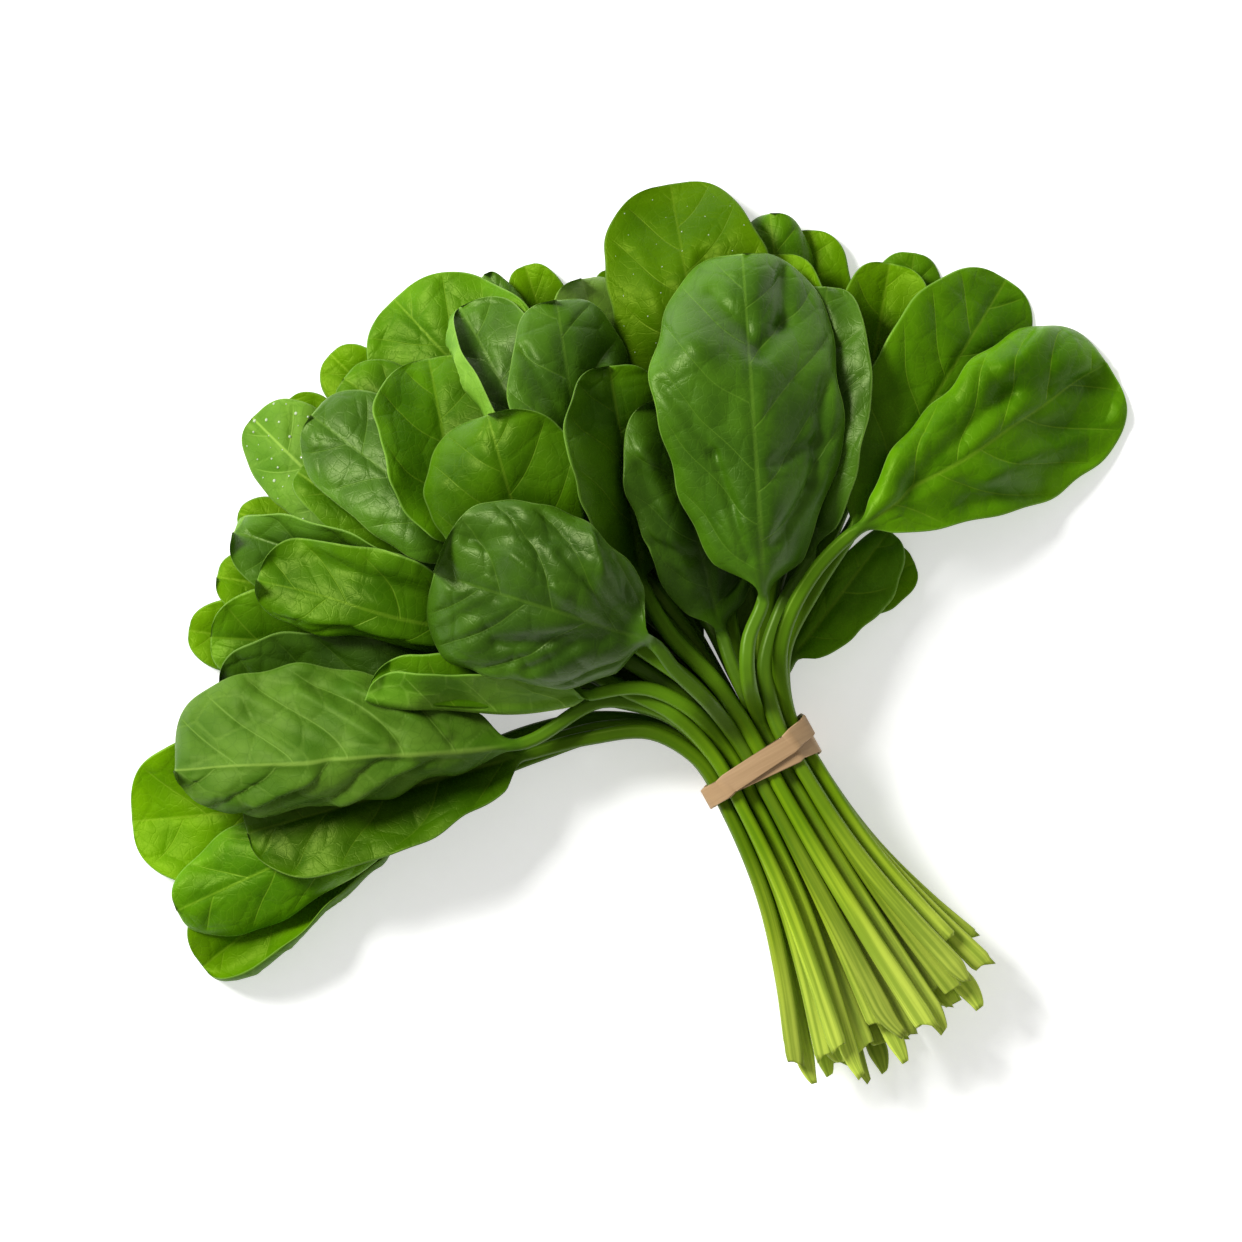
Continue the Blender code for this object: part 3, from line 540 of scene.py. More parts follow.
def blade_grid(number, u, c, waves, moods, quilting):
    """The sections of the fine blade, and the values that the finish reads."""
    leaf = LEAVES[number - 1]
    u, c = u[:, None], c[None, :]
    length = np.linalg.norm(np.subtract(leaf.tip, leaf.base))
    swings = np.where(c < 0, moods[0], moods[5])
    outline = 1 + sum(
        high * np.sin(2 * math.pi * many * u + lag * swings) for high, many, lag in OUTLINE_WAVES
    )
    skin, normal, away, width = blade_skin(leaf, u, c, waves, outline, WIDTH_FLOOR, 1.5)
    s, t = u * length + 0 * c, np.where(c < 0, -away, away)
    edge = np.minimum(width - away, (1 - u) * length * 0.9)
    phase = vein_phase(s, t, moods)
    net = cell_border(s, t, moods[3])
    bulge = relief(s, t, edge, phase, net, moods, quilting) + crease_relief(number, s, t)
    skin = skin + normal * bulge[..., None]
    thick = RIM_THICKNESS + (BLADE_THICKNESS - RIM_THICKNESS) * np.clip(edge / RIM_REACH, 0, 1)
    rib_width = RIB_NARROWEST + RIB_WIDER * (1 - u) + 0 * c
    rib = STEM_RADIUS * RIB_RISE * (1 - u) ** 0.8 * np.exp(-((away / rib_width) ** 2)) + RIB_TIP
    furrow = FURROW_DEPTH * np.exp(-((away / FURROW_WIDTH) ** 2)) * (1 - 0.7 * u)
    over = thick / 2 + (rib if leaf.face < 0 else -furrow)
    under = thick / 2 + (rib if leaf.face > 0 else -furrow)
    upper = skin + normal * over[..., None]
    lower = skin - normal * under[..., None]
    flat = np.concatenate([upper, lower[:, ::-1]], axis=1)
    round_share = FILLER_ROUND_SHARE if leaf.tone == "under" else ROUND_SHARE
    share = np.clip(u / round_share, 0, 1)[..., None]
    share = share * share * (3 - 2 * share)
    sections = ring_of(flat.shape[1], STEM_RADIUS) * (1 - share) + flat * share
    return sections, {"phase": phase, "edge": edge, "rib": away / rib_width, "s": s, "t": t, "net": net}


# %% [markdown]
# ## Where each leaf lies
# The solids were laid one on another like real leaves, each bent over what lies below it. Working
# that out again would give slightly other heights, so they are read from the solids: a point of a
# solid keeps its place on the plan, and how far it has risen is the lift there. The fine leaf
# takes those lifts by a smooth curve through them, and its quilting is then eased off its
# neighbours with a map of the heap's height.

# %% Smooth curves through stations


def curve_weights(places, wanted):
    """Weights that read a smooth curve through values at places, at each wanted place."""
    count = len(places)
    steps = np.diff(places)
    slopes = np.zeros((count, count))
    slopes[0, :2] = -1 / steps[0], 1 / steps[0]
    slopes[-1, -2:] = -1 / steps[-1], 1 / steps[-1]
    for k in range(1, count - 1):
        share = steps[k] / (steps[k - 1] + steps[k])
        slopes[k, k - 1] = -share / steps[k - 1]
        slopes[k, k] = share / steps[k - 1] - (1 - share) / steps[k]
        slopes[k, k + 1] = (1 - share) / steps[k]
    at = np.clip(np.searchsorted(places, wanted, side="right") - 1, 0, count - 2)
    step = steps[at]
    t = np.clip((wanted - places[at]) / step, 0, 1)
    weights = np.zeros((len(wanted), count))
    rows = np.arange(len(wanted))
    weights[rows, at] = 2 * t**3 - 3 * t**2 + 1
    weights[rows, at + 1] = 3 * t**2 - 2 * t**3
    weights += ((t**3 - 2 * t**2 + t) * step)[:, None] * slopes[at]
    weights += ((t**3 - t**2) * step)[:, None] * slopes[at + 1]
    return weights


# %% Sections stood on the leaf's path
def side_of(path):
    way = np.gradient(path[:, :2], axis=0)
    way /= np.linalg.norm(way, axis=1)[:, None]
    return np.column_stack([-way[:, 1], way[:, 0]])


def standing(centres, left, section):
    """Points of sections, given sideways and upward, stood on their centres."""
    flat = centres[:, None, :2] + section[..., :1] * left[:, None, :]
    return np.concatenate([flat, centres[:, None, 2:] + section[..., 1:]], axis=-1)


# %% The lifts, read from a solid
SOLID_THICKNESS = 0.8
SOLID_RIB = 0.85
MATCH = 0.03


def solid_sections(leaf, waves):
    """The solid's sections across its blade: the upper points from left to right, the lower ones back."""
    u, c = BLADE_STATIONS[:, None], BLADE_COLUMNS[None, :]
    skin, normal, _, _ = blade_skin(leaf, u, c, waves, 1.0, STEM_RADIUS, 1e-3)
    rib = np.where(c == 0, STEM_RADIUS * SOLID_RIB * (1 - u), 0)[..., None]
    upper = skin + normal * (SOLID_THICKNESS / 2 + (rib if leaf.face < 0 else 0))
    lower = skin - normal * (SOLID_THICKNESS / 2 + (rib if leaf.face > 0 else 0))
    flat = np.concatenate([upper, lower[:, ::-1]], axis=1)
    share = np.minimum(1.0, u / ROUND_SHARE)[..., None]
    return ring_of(flat.shape[1], STEM_RADIUS) * (1 - share) + flat * share


def rises(solid, point):
    near = np.hypot(solid[:, 0] - point[0], solid[:, 1] - point[1])
    return solid[near < max(MATCH, near.min() + MATCH), 2] - point[2]


def read_lifts(number, path, waves, flare):
    """The lift at each station of the leaf, and for the blade in each column."""
    leaf = LEAVES[number - 1]
    mesh = bpy.data.objects[f"leaf_{number:02d}"].data
    solid = to_plan(np.array([vertex.co for vertex in mesh.vertices]))
    coarse = np.vstack([path, midrib_point(leaf, BLADE_STATIONS)])
    left = side_of(coarse)
    table = np.zeros((len(coarse), len(BLADE_COLUMNS)))
    for i in range(len(path)):
        toward_cut = max(0.0, 1 - i / len(TAIL_STATIONS))
        beside = coarse[i, :2] + left[i] * (STEM_RADIUS + flare * toward_cut**1.5)
        table[i] = rises(solid, in_space(beside, coarse[i, 2]))[0]
    points = standing(coarse[len(path):], left[len(path):], solid_sections(leaf, waves))
    for i, section in enumerate(points, len(path)):
        for j in range(len(BLADE_COLUMNS)):
            upper, lower = rises(solid, section[j]), rises(solid, section[-1 - j])
            apart = np.abs(upper[:, None] - lower[None, :])
            table[i, j] = upper[np.unravel_index(apart.argmin(), apart.shape)[0]]
    return coarse, table


# %% A leaf's fine points at their height
FineLeaf = namedtuple("FineLeaf", "stem blade stem_place c values")
STEM_SIDES = 18
STEM_STEP = 2.6
BLADE_STEP = 0.9
TORN_SHARE = 0.3
TORN = ((6, 11), (0.25, 0.45), (-1, 1), (-2, 2))
CUT = ((0, 4), (0.7, 0.95), (-1.2, 1.2))
STEM_WIDER, CUT_WIDER, CUT_SUNK, FAN_WIDER = 1.12, 1.25, 0.35, 0.16
OWN_WIDTHS = (0.92, 1.1)
END_SEED, WIDTH_SEED = 500, 700
MORE_RINGS, TIP_CROWDING = 1.15, 1.3


def cut_end(number):
    """How far a stem's end hangs out past the solid's, and how thin, how slanted and how bent it is."""
    chance = random.Random(END_SEED + number)
    if chance.random() < TORN_SHARE:
        return [chance.uniform(*limits) for limits in TORN]
    return [chance.uniform(*limits) for limits in CUT] + [0.0]


def stem_sections(toward_cut, flare, width):
    """Round sections with a shallow channel along the upper side, wider and flatter towards the cut."""
    angle = math.pi - (np.arange(STEM_SIDES) + 0.5) / STEM_SIDES * 2 * math.pi
    channel = 1 - 0.2 * np.exp(-(((angle - math.pi / 2) / 0.5) ** 2)) + 0.03 * np.cos(6 * angle)
    wide = STEM_RADIUS * STEM_WIDER + CUT_WIDER * flare * toward_cut[:, None] ** 1.1
    high = STEM_RADIUS - CUT_SUNK * toward_cut[:, None]
    round_section = np.stack([-np.cos(angle) * wide, np.sin(angle) * high], axis=-1) * channel[:, None]
    return round_section * width[:, None, None]


def grown_out(number, reach, coarse, stem_reach):
    """The stem's centres with its torn end, and the share of the full width that each section has."""
    extra, thin, slant, bend = cut_end(number)
    out = np.linspace(-extra, 0, 7)[:-1]
    away = (coarse[0] - coarse[1]) / reach[1]
    side = np.array([-away[1], away[0], 0])
    hanging = coarse[0] - out[:, None] * away + (out[:, None] / 10) ** 2 * bend * side
    share = np.clip(-out / max(extra, 1e-6), 0, 1) ** 1.5
    width = np.r_[1 - (1 - thin) * share, np.ones(len(stem_reach))]
    return np.vstack([hanging, curve_weights(reach, stem_reach) @ coarse]), width, away * slant


def fine_leaf(number, path, draws):
    """The fine stem and blade of one leaf. Their rings stand closer together towards the tip."""
    waves, flare, moods, quilting = draws
    leaf = LEAVES[number - 1]
    coarse, table = read_lifts(number, path, waves, flare)
    length = np.linalg.norm(np.subtract(leaf.tip, leaf.base))
    u = 1 - (1 - np.linspace(0, 1, round(length * MORE_RINGS / BLADE_STEP) + 1)) ** TIP_CROWDING
    c = np.linspace(-1, 1, 2 * round(sum(leaf.half) / 2 / BLADE_STEP) + 1)
    reach = np.r_[0, np.cumsum(np.linalg.norm(np.diff(coarse, axis=0), axis=1))]
    stem_reach = np.linspace(0, reach[len(path)], round(reach[len(path)] / STEM_STEP))[:-1]
    stem_centres, width, slant = grown_out(number, reach, coarse, stem_reach)
    stem_reach = np.r_[np.zeros(len(stem_centres) - len(stem_reach)), stem_reach]
    blade_centres = midrib_point(leaf, u)
    left = side_of(np.vstack([stem_centres, blade_centres]))
    stem_place = np.interp(stem_reach, reach, np.arange(len(reach)))
    toward_cut = np.clip(1 - stem_place / (HELD - 1), 0, 1)
    toward_blade = np.clip((stem_place - HELD + 1) / (len(path) - HELD + 1), 0, 1)
    own_width = random.Random(WIDTH_SEED + number).uniform(*OWN_WIDTHS)
    width = width * (1 + FAN_WIDER * np.sin(math.pi * toward_blade)) * own_width
    section = stem_sections(toward_cut, flare, width)
    stem = standing(stem_centres, left[:len(stem_centres)], section)
    stem[0] += section[0, :, :1] * slant
    sections, values = blade_grid(number, u, c, waves, moods, quilting)
    blade = standing(blade_centres, left[len(stem_centres):], sections)
    values["u"] = u
    places = np.arange(len(coarse), dtype=float)
    blade_place = len(path) + np.interp(u, BLADE_STATIONS, np.arange(len(BLADE_STATIONS)))
    stem[..., 2] += (curve_weights(places, stem_place) @ table[:, 2])[:, None]
    raised = curve_weights(places, blade_place) @ table @ curve_weights(BLADE_COLUMNS, c).T
    blade[..., 2] += np.concatenate([raised, raised[:, ::-1]], axis=1)
    return FineLeaf(stem, blade, stem_place, c, values)


# %% Easing each leaf off the heap
MAP_STEP = 1.0
MAP_LOW = np.array([-200.0, -110.0])
MAP_SIZE = (330, 300)
LAY_GAP = 0.3
SOFT_REACH = 4
heap_top = np.full(MAP_SIZE, -LAY_GAP)


def heap_cells(points):
    index = ((points[..., :2] - MAP_LOW) / MAP_STEP).astype(int)
    return index[..., 0], index[..., 1]


def widened(field, reach, axis, pick):
    pad = [(reach, reach) if k == axis else (0, 0) for k in range(2)]
    padded = np.pad(field, pad, mode="edge")
    return pick(np.lib.stride_tricks.sliding_window_view(padded, 2 * reach + 1, axis=axis), axis=-1)


def softened(field, reach):
    """A smooth field that is nowhere below the given one."""
    for pick in (np.max, np.mean):
        for axis in (0, 1):
            field = widened(field, reach, axis, pick)
    return field


def add_to_heap(stem, blade):
    for share in np.linspace(0, 1, 4):
        between = stem[:-1] * (1 - share) + stem[1:] * share
        np.maximum.at(heap_top, heap_cells(between), between[..., 2])
    np.maximum.at(heap_top, heap_cells(blade), blade[..., 2])


def ease_off(fine):
    """Raises the leaf where it would touch what lies below it, and adds it to the heap."""
    columns = len(fine.c)
    short_stem = (heap_top[heap_cells(fine.stem)] + LAY_GAP - fine.stem[..., 2]).max(axis=1)
    short_stem = np.where(fine.stem_place > HELD + 0.6, short_stem, 0)
    short_blade = heap_top[heap_cells(fine.blade)] + LAY_GAP - fine.blade[..., 2]
    short_blade = np.maximum(short_blade[:, :columns], short_blade[:, columns:][:, ::-1])
    short = np.vstack([np.repeat(short_stem[:, None], columns, axis=1), short_blade])
    push = softened(np.clip(short, 0, None), SOFT_REACH)
    rows = len(short_stem)
    round_share = np.clip(fine.values["u"] / ROUND_SHARE, 0, 1)[:, None]
    highest = push.max(axis=1, keepdims=True)
    push[:rows] = highest[:rows] * np.clip(fine.stem_place - HELD, 0, 1)[:, None]
    push[rows:] = highest[rows:] * (1 - round_share) + push[rows:] * round_share
    fine.stem[..., 2] += push[:rows, :1]
    fine.blade[..., 2] += np.concatenate([push[rows:], push[rows:, ::-1]], axis=1)
    add_to_heap(fine.stem, fine.blade)
    return push.max()


# %% Lay them all
QUILTING = {"under": 0.4, "pale": 0.7, "bright": 0.4, "mid": 0.6, "dark": 0.8}
OWN_QUILTING = {30: 1.1, 39: 0.35, 45: 1.15, 46: 0.62}
FULL_TURN = 6.28
MOOD_SEED = 100
laid, eased = [], []
for index, leaf in enumerate(LEAVES):
    waves = (chance.uniform(0, FULL_TURN), chance.uniform(0, FULL_TURN))
    flare = chance.uniform(0.6, 1.0)
    mood_chance = random.Random(MOOD_SEED + index)
    moods = [mood_chance.uniform(0, FULL_TURN) for _ in range(7)]
    quilting = OWN_QUILTING.get(index + 1, QUILTING[leaf.tone])
    fine = fine_leaf(index + 1, paths[index], (waves, flare, moods, quilting))
    eased.append(ease_off(fine))
    laid.append(fine)
print("heap", round(float(heap_top.max()), 1), "mm high")
print("leaves eased up by", round(float(max(eased)), 1), "mm at most")

# %% [markdown]
# ## The leaf as one mesh
# A leaf is one skin: rings of points run up the stem and over the blade, and are sewn into faces.
# Beside its shape, each point keeps values that the finish reads: the count of side veins, how
# far the midrib and the rim are, and how far along the stem it is. The finish can then draw veins
# finer than the mesh, in the same places as the relief.


# %% Sewing rings together
def zip_rings(first, second):
    """Triangles between two rings that differ in count."""
    triangles = []
    i = j = 0
    while i < len(first) or j < len(second):
        here, there = first[i % len(first)], second[j % len(second)]
        if (i + 1) / len(first) <= (j + 1) / len(second):
            triangles.append((here, first[(i + 1) % len(first)], there))
            i += 1
        else:
            triangles.append((here, second[(j + 1) % len(second)], there))
            j += 1
    return triangles


def sew(first, last, size):
    """Quads between neighbouring rings that all have the same count."""
    rings = np.arange(first, last).reshape(-1, size)
    following = np.roll(rings, -1, axis=1)
    quads = np.stack([rings[:-1], following[:-1], following[1:], rings[1:]], axis=-1)
    return quads.reshape(-1, 4).tolist()


def put_values(mesh, values):
    for name, numbers in values.items():
        flat = np.asarray(numbers, dtype=np.float32)
        if flat.ndim == 2:
            mesh.attributes.new(name, "FLOAT_VECTOR", "POINT").data.foreach_set("vector", flat.ravel())
        else:
            mesh.attributes.new(name, "FLOAT", "POINT").data.foreach_set("value", flat)


def new_object(name, data):
    obj = bpy.data.objects.new(name, data)
    bpy.context.scene.collection.objects.link(obj)
    return obj


def new_mesh(name, points, edges, faces):
    mesh = bpy.data.meshes.new(name)
    mesh.from_pydata(points.tolist(), edges, faces)
    return mesh


def add_piece(name, points, faces, finish, values=None):
    mesh = new_mesh(name, points, [], faces)
    mesh.materials.append(finish)
    mesh.shade_smooth()
    put_values(mesh, values or {})
    return new_object(name, mesh)


# %% [markdown]
# ## Finishes
# Spinach leaf: a waxy skin over deep green flesh, satin above and matt below, thin enough for light
# to shine through as yellow-green. Its roughness is about 0.4 above and 0.55 below, with the index
# of a water-filled leaf, 1.42, and its reflection is tinted green, as the leaves around it are what
# it mostly reflects. Stem: the same skin without the dark flesh, and paler towards the cut. Colours
# are laid over each other like thin paint, each through a mask that is worked out from the values
# at the points, so the drawn veins lie where the relief has them. Baking pictures for 46 leaves
# would do the same, but a rule stays sharp at any distance.

# %% Colours and nodes


def linear(hex_colour):
    """A linear colour from an sRGB hex value."""
    parts = [int(hex_colour[k:k + 2], 16) / 255 for k in (1, 3, 5)]
    return (*[v / 12.92 if v <= 0.04045 else ((v + 0.055) / 1.055) ** 2.4 for v in parts], 1.0)


def add_node(tree, kind, inputs=None, **settings):
    """Adds a node. An input is a value, a hex colour, a socket, or a node for its first output."""
    made = tree.nodes.new(kind)
    for name, value in settings.items():
        setattr(made, name, value)
    for key, value in (inputs or {}).items():
        if isinstance(value, bpy.types.Node):
            value = value.outputs[0]
        if isinstance(value, bpy.types.NodeSocket):
            tree.links.new(value, made.inputs[key])
        elif isinstance(value, str) and value.startswith("#"):
            made.inputs[key].default_value = linear(value)
        else:
            made.inputs[key].default_value = value
    return made


def new_material(name):
    made = bpy.data.materials.new(name)
    made.use_nodes = True
    made.node_tree.nodes.clear()
    return made, made.node_tree


# %% Paint in layers
def sum_of_products(tree, pairs):
    """Multiplies the two values of each pair, and adds up what comes out."""
    total = 0.0
    for first, second in pairs:
        inputs = {0: first, 1: second, 2: total}
        total = add_node(tree, "ShaderNodeMath", inputs, operation="MULTIPLY_ADD")
    return total


def layered(tree, ground, layers):
    """Lays colours over a ground. A row is a mask, how much the colour covers in it, and the colour."""
    for mask, share, colour in layers:
        inputs = {0: sum_of_products(tree, ((mask, share),)), 6: ground, 7: colour}
        ground = add_node(tree, "ShaderNodeMix", inputs, data_type="RGBA").outputs[2]
    return ground


def coated(tree, inputs):
    """Gives a material one plain surface."""
    skin = add_node(tree, "ShaderNodeBsdfPrincipled", inputs)
    add_node(tree, "ShaderNodeOutputMaterial", {"Surface": skin})


# %% Patterns of a leaf
# Scales are repeats for each millimetre: meshes of small veins 3 mm and 1 mm wide, clouds of 14 mm,
# a grain of 2 mm, and streaks 1 mm wide that run along the stem. A real grain is finer than 0.1 mm,
# which wouldn't show, so it is drawn coarser.
VALUES = ("phase", "edge", "rib", "along", "under", "blade", "shade", "net")
MESH_SCALES = (0.34, 0.95)
CLOUD_SCALE, GRAIN_SCALE = 0.07, 0.45
STREAK_SCALE = (0.03, 0.9, 1.0)
PALE_END, GREEN_END = -85, 95


def leaf_patterns(tree):
    """The masks of a leaf's colours and bump, worked out from the values at its points."""
    seen = {
        name: add_node(tree, "ShaderNodeAttribute", attribute_name=name).outputs["Fac"] for name in VALUES
    }
    place = add_node(tree, "ShaderNodeAttribute", attribute_name="leaf_mm").outputs["Vector"]
    between = seen["phase"]
    for operation, other in (("FRACT", 0.0), ("SUBTRACT", 0.5), ("ABSOLUTE", 0.0)):
        between = add_node(tree, "ShaderNodeMath", {0: between, 1: other}, operation=operation)
    mesh, fine_mesh = (
        add_node(tree, "ShaderNodeTexVoronoi", {"Vector": place, "Scale": scale}, feature="DISTANCE_TO_EDGE")
        for scale in MESH_SCALES
    )
    along = add_node(tree, "ShaderNodeMapping", {"Vector": place, "Scale": STREAK_SCALE})
    clouds, grain, streak = (
        add_node(tree, "ShaderNodeTexNoise", {"Vector": at, "Scale": scale, "Detail": detail})
        for at, scale, detail in ((place, CLOUD_SCALE, 4.0), (place, GRAIN_SCALE, 3.0), (along, 1.0, 2.0))
    )
    # Each smooth step: the value, where the step starts and ends, and what it is at both ends.
    steps = {
        "vein": (between, 0.472, 0.498, 0.0, 1.0),
        "inside": (seen["edge"], 0.5, 5.0, 0.0, 1.0),
        "cells": (seen["net"], 0.1, 1.1, 1.0, 0.0),
        "mesh": (mesh, 0.0, 0.08, 1.0, 0.0),
        "fine_mesh": (fine_mesh, 0.0, 0.12, 1.0, 0.0),
        "midrib": (seen["rib"], 0.1, 0.5, 1.0, 0.0),
        "rim": (seen["edge"], 0.1, 0.6, 1.0, 0.0),
        # Lighter within 9 mm of the rim: partly the margin's own paler green, partly painted light on thin
        # lit edges and painted shade inside cupped blades.
        "pale_margin_and_painted_light": (seen["edge"], 0.0, 9.0, 1.0, 0.0),
        "clouds": (clouds, 0.3, 0.7, 0.0, 1.0),
        "streak": (streak, 0.35, 0.65, 0.0, 1.0),
        "up_stem": (seen["along"], PALE_END, GREEN_END, 0.0, 1.0),
        "rough": (seen["under"], 0.0, 1.0, 0.34, 0.5),
        "outward": (seen["under"], 0.0, 1.0, 1.0, -0.7),
    }
    for name, (value, start, end, first, last) in steps.items():
        inputs = {"Value": value, "From Min": start, "From Max": end, "To Min": first, "To Max": last}
        seen[name] = add_node(tree, "ShaderNodeMapRange", inputs, interpolation_type="SMOOTHSTEP")
    seen["side_vein"] = sum_of_products(tree, ((seen["vein"], seen["inside"]),))
    seen["grain"] = grain
    return seen


# %% Colours of a leaf
STEM_STOPS = (
    (0.0, "#d0e258"), (0.13, "#b2cc34"), (0.3, "#769a10"),
    (0.48, "#688c0c"), (0.68, "#5c8412"), (1.0, "#34600c"),
)


def leaf_colour(tree, seen, deep, light, vein):
    """The flesh above and below, each with its nets and veins, and the paler rim."""
    mesh, cells, side_vein, midrib = (seen[name] for name in ("mesh", "cells", "side_vein", "midrib"))
    # Random clouds and the lighter rim zone, which is partly painted light and shade, mix the light colour
    # in.
    tone = sum_of_products(tree, ((seen["clouds"], 0.55), (seen["pale_margin_and_painted_light"], 0.45)))
    upper = layered(tree, deep, (
        (tone, 1.0, light), (mesh, 0.06, vein), (cells, 0.16, deep),
        (side_vein, 0.3, vein), (midrib, 0.3, vein),
    ))
    lower = layered(tree, "#48750f", (
        (seen["clouds"], 1.0, "#648f24"), (mesh, 0.25, "#3e6a0c"), (side_vein, 0.55, "#84ac40"),
        (cells, 0.25, "#84ac40"), (midrib, 0.7, "#8fb444"),
    ))
    return layered(tree, upper, ((seen["under"], 1.0, lower), (seen["rim"], 0.4, "#8fb850")))


def stem_colour(tree, seen):
    """Pale where it was cut and greener towards the blade, with streaks along it."""
    ramp = add_node(tree, "ShaderNodeValToRGB", {"Fac": seen["up_stem"]})
    stops = ramp.color_ramp.elements
    stops[0].color, stops[1].color = (linear(STEM_STOPS[end][1]) for end in (0, -1))
    for position, colour in STEM_STOPS[1:-1]:
        stops.new(position).color = linear(colour)
    return layered(tree, ramp, ((seen["streak"], 0.55, "#4f7a10"),))


# %% The leaf finish
LEAF_IOR = 1.42
LEAF_BUMP = 0.32
BUMP_DEPTH = 0.00035
GLOW_SHARE = 0.6


def leaf_finish(name, deep, light, vein, glow, through, sheen):
    """Waxy skin over green flesh. glow is what shines through, and how much. sheen tints the reflection."""
    made, tree = new_material(name)
    seen = leaf_patterns(tree)
    flesh = leaf_colour(tree, seen, deep, light, vein)
    whole = layered(tree, stem_colour(tree, seen), ((seen["blade"], 1.0, flesh),))
    # Each point's lightness scales the colour: the leaf's own tone, painted light and shade on some leaves,
    # and painted shade in the gaps.
    whole = add_node(tree, "ShaderNodeHueSaturation", {"Value": seen["shade"], "Color": whole})
    lines = sum_of_products(tree, (
        (seen["mesh"], 0.3), (seen["fine_mesh"], 0.12), (seen["side_vein"], 1.0), (seen["cells"], 0.5),
    ))
    on_blade = sum_of_products(tree, ((lines, seen["blade"]),))
    height = sum_of_products(tree, ((seen["grain"], 0.6), (on_blade, -1.0)))
    height = sum_of_products(tree, ((height, seen["outward"]),))
    relief_inputs = {"Height": height, "Strength": LEAF_BUMP, "Distance": BUMP_DEPTH}
    normal = add_node(tree, "ShaderNodeBump", relief_inputs)
    rough = sum_of_products(tree, ((seen["rough"], 1.0), (seen["grain"], 0.12)))
    skin = add_node(
        tree, "ShaderNodeBsdfPrincipled",
        {"Base Color": whole, "Roughness": rough, "Normal": normal, "IOR": LEAF_IOR, "Specular Tint": sheen},
    )
    lit = layered(tree, whole, ((1.0, GLOW_SHARE, glow),))
    beyond = add_node(tree, "ShaderNodeBsdfTranslucent", {"Color": lit, "Normal": normal})
    mixed = add_node(tree, "ShaderNodeMixShader", {0: through, 1: skin, 2: beyond})
    add_node(tree, "ShaderNodeOutputMaterial", {"Surface": mixed})
    return made


FINISHES = {
    tone: leaf_finish(f"spinach_leaf_{colour}", *values)
    for tone, colour, *values in (
        ("dark", "dark", "#2a4b05", "#46700d", "#5f8424", "#6c9c08", 0.08, "#dcf0a8"),
        ("mid", "green", "#345e02", "#548504", "#7ca024", "#7cb004", 0.14, "#c0dc60"),
        ("bright", "bright", "#4f7f01", "#6a9a02", "#8fb428", "#9ccc04", 0.24, "#b8d440"),
        ("pale", "pale", "#5f8620", "#7da33c", "#9abb58", "#98c830", 0.16, "#d0e490"),
    )
}
FINISHES["under"] = FINISHES["mid"]
print("leaf finishes", sorted(FINISHES))

# %% [markdown]
# ## Light in the gaps
# Each leaf has a lightness of its own, partly its own tone and partly painted light and shade,
# and less light reaches what lies deep among others. The packed heap is flatter than a real one,
# so its gaps alone would come out too light. Each point's colour is therefore darkened, as painted
# shade, by how far it lies under the heap around it, averaged over about 2 cm. More or deeper gaps
# would do it too, but the solids couldn't follow them.

# %% How light each leaf is
# Each leaf's lightness: partly its own tone, partly painted light and shade for where it lies in the light.
# Leaf 18, in a shaded bowl, is darkened.
LEAF_TONES_AND_PAINTED_LIGHT = {
    4: 1.0, 6: 1.2, 7: 1.2, 12: 1.4, 18: 0.62, 21: 1.18, 23: 1.15, 24: 0.85, 27: 1.05, 30: 0.72, 32: 1.15,
    33: 0.63, 34: 1.15, 35: 1.15, 36: 0.95, 37: 1.3, 39: 1.15, 40: 1.15, 41: 0.85, 42: 1.5, 43: 0.9,
    44: 0.9, 45: 0.88, 46: 1.36,
}
STEM_SHADES = (0.72, 1.25)
OWN_FINISH = {6: "mid", 42: "mid"}
DIM_REACH = 5
DIM_RATE = 0.045
DEEPEST = 30
surroundings = heap_top
for axis in (0, 1, 0, 1):
    surroundings = widened(surroundings, DIM_REACH, axis, np.mean)


def painted_gap_shade(points):
    """Painted shade: the share of colour kept at points that lie lower than the heap around them."""
    deep = surroundings[heap_cells(points)] - points[..., 2]
    return np.exp(-DIM_RATE * np.clip(deep, 0, DEEPEST))


print("surroundings up to", round(float(surroundings.max()), 1), "mm high")


# %% Make the leaves
TINT_SEED = 300
LEAF_APART = 61.0
BLADE_APART = 200
FAR_OFF = 9
NO_VEIN = 0.5
BLADE_ALONG = (60.0, 30)


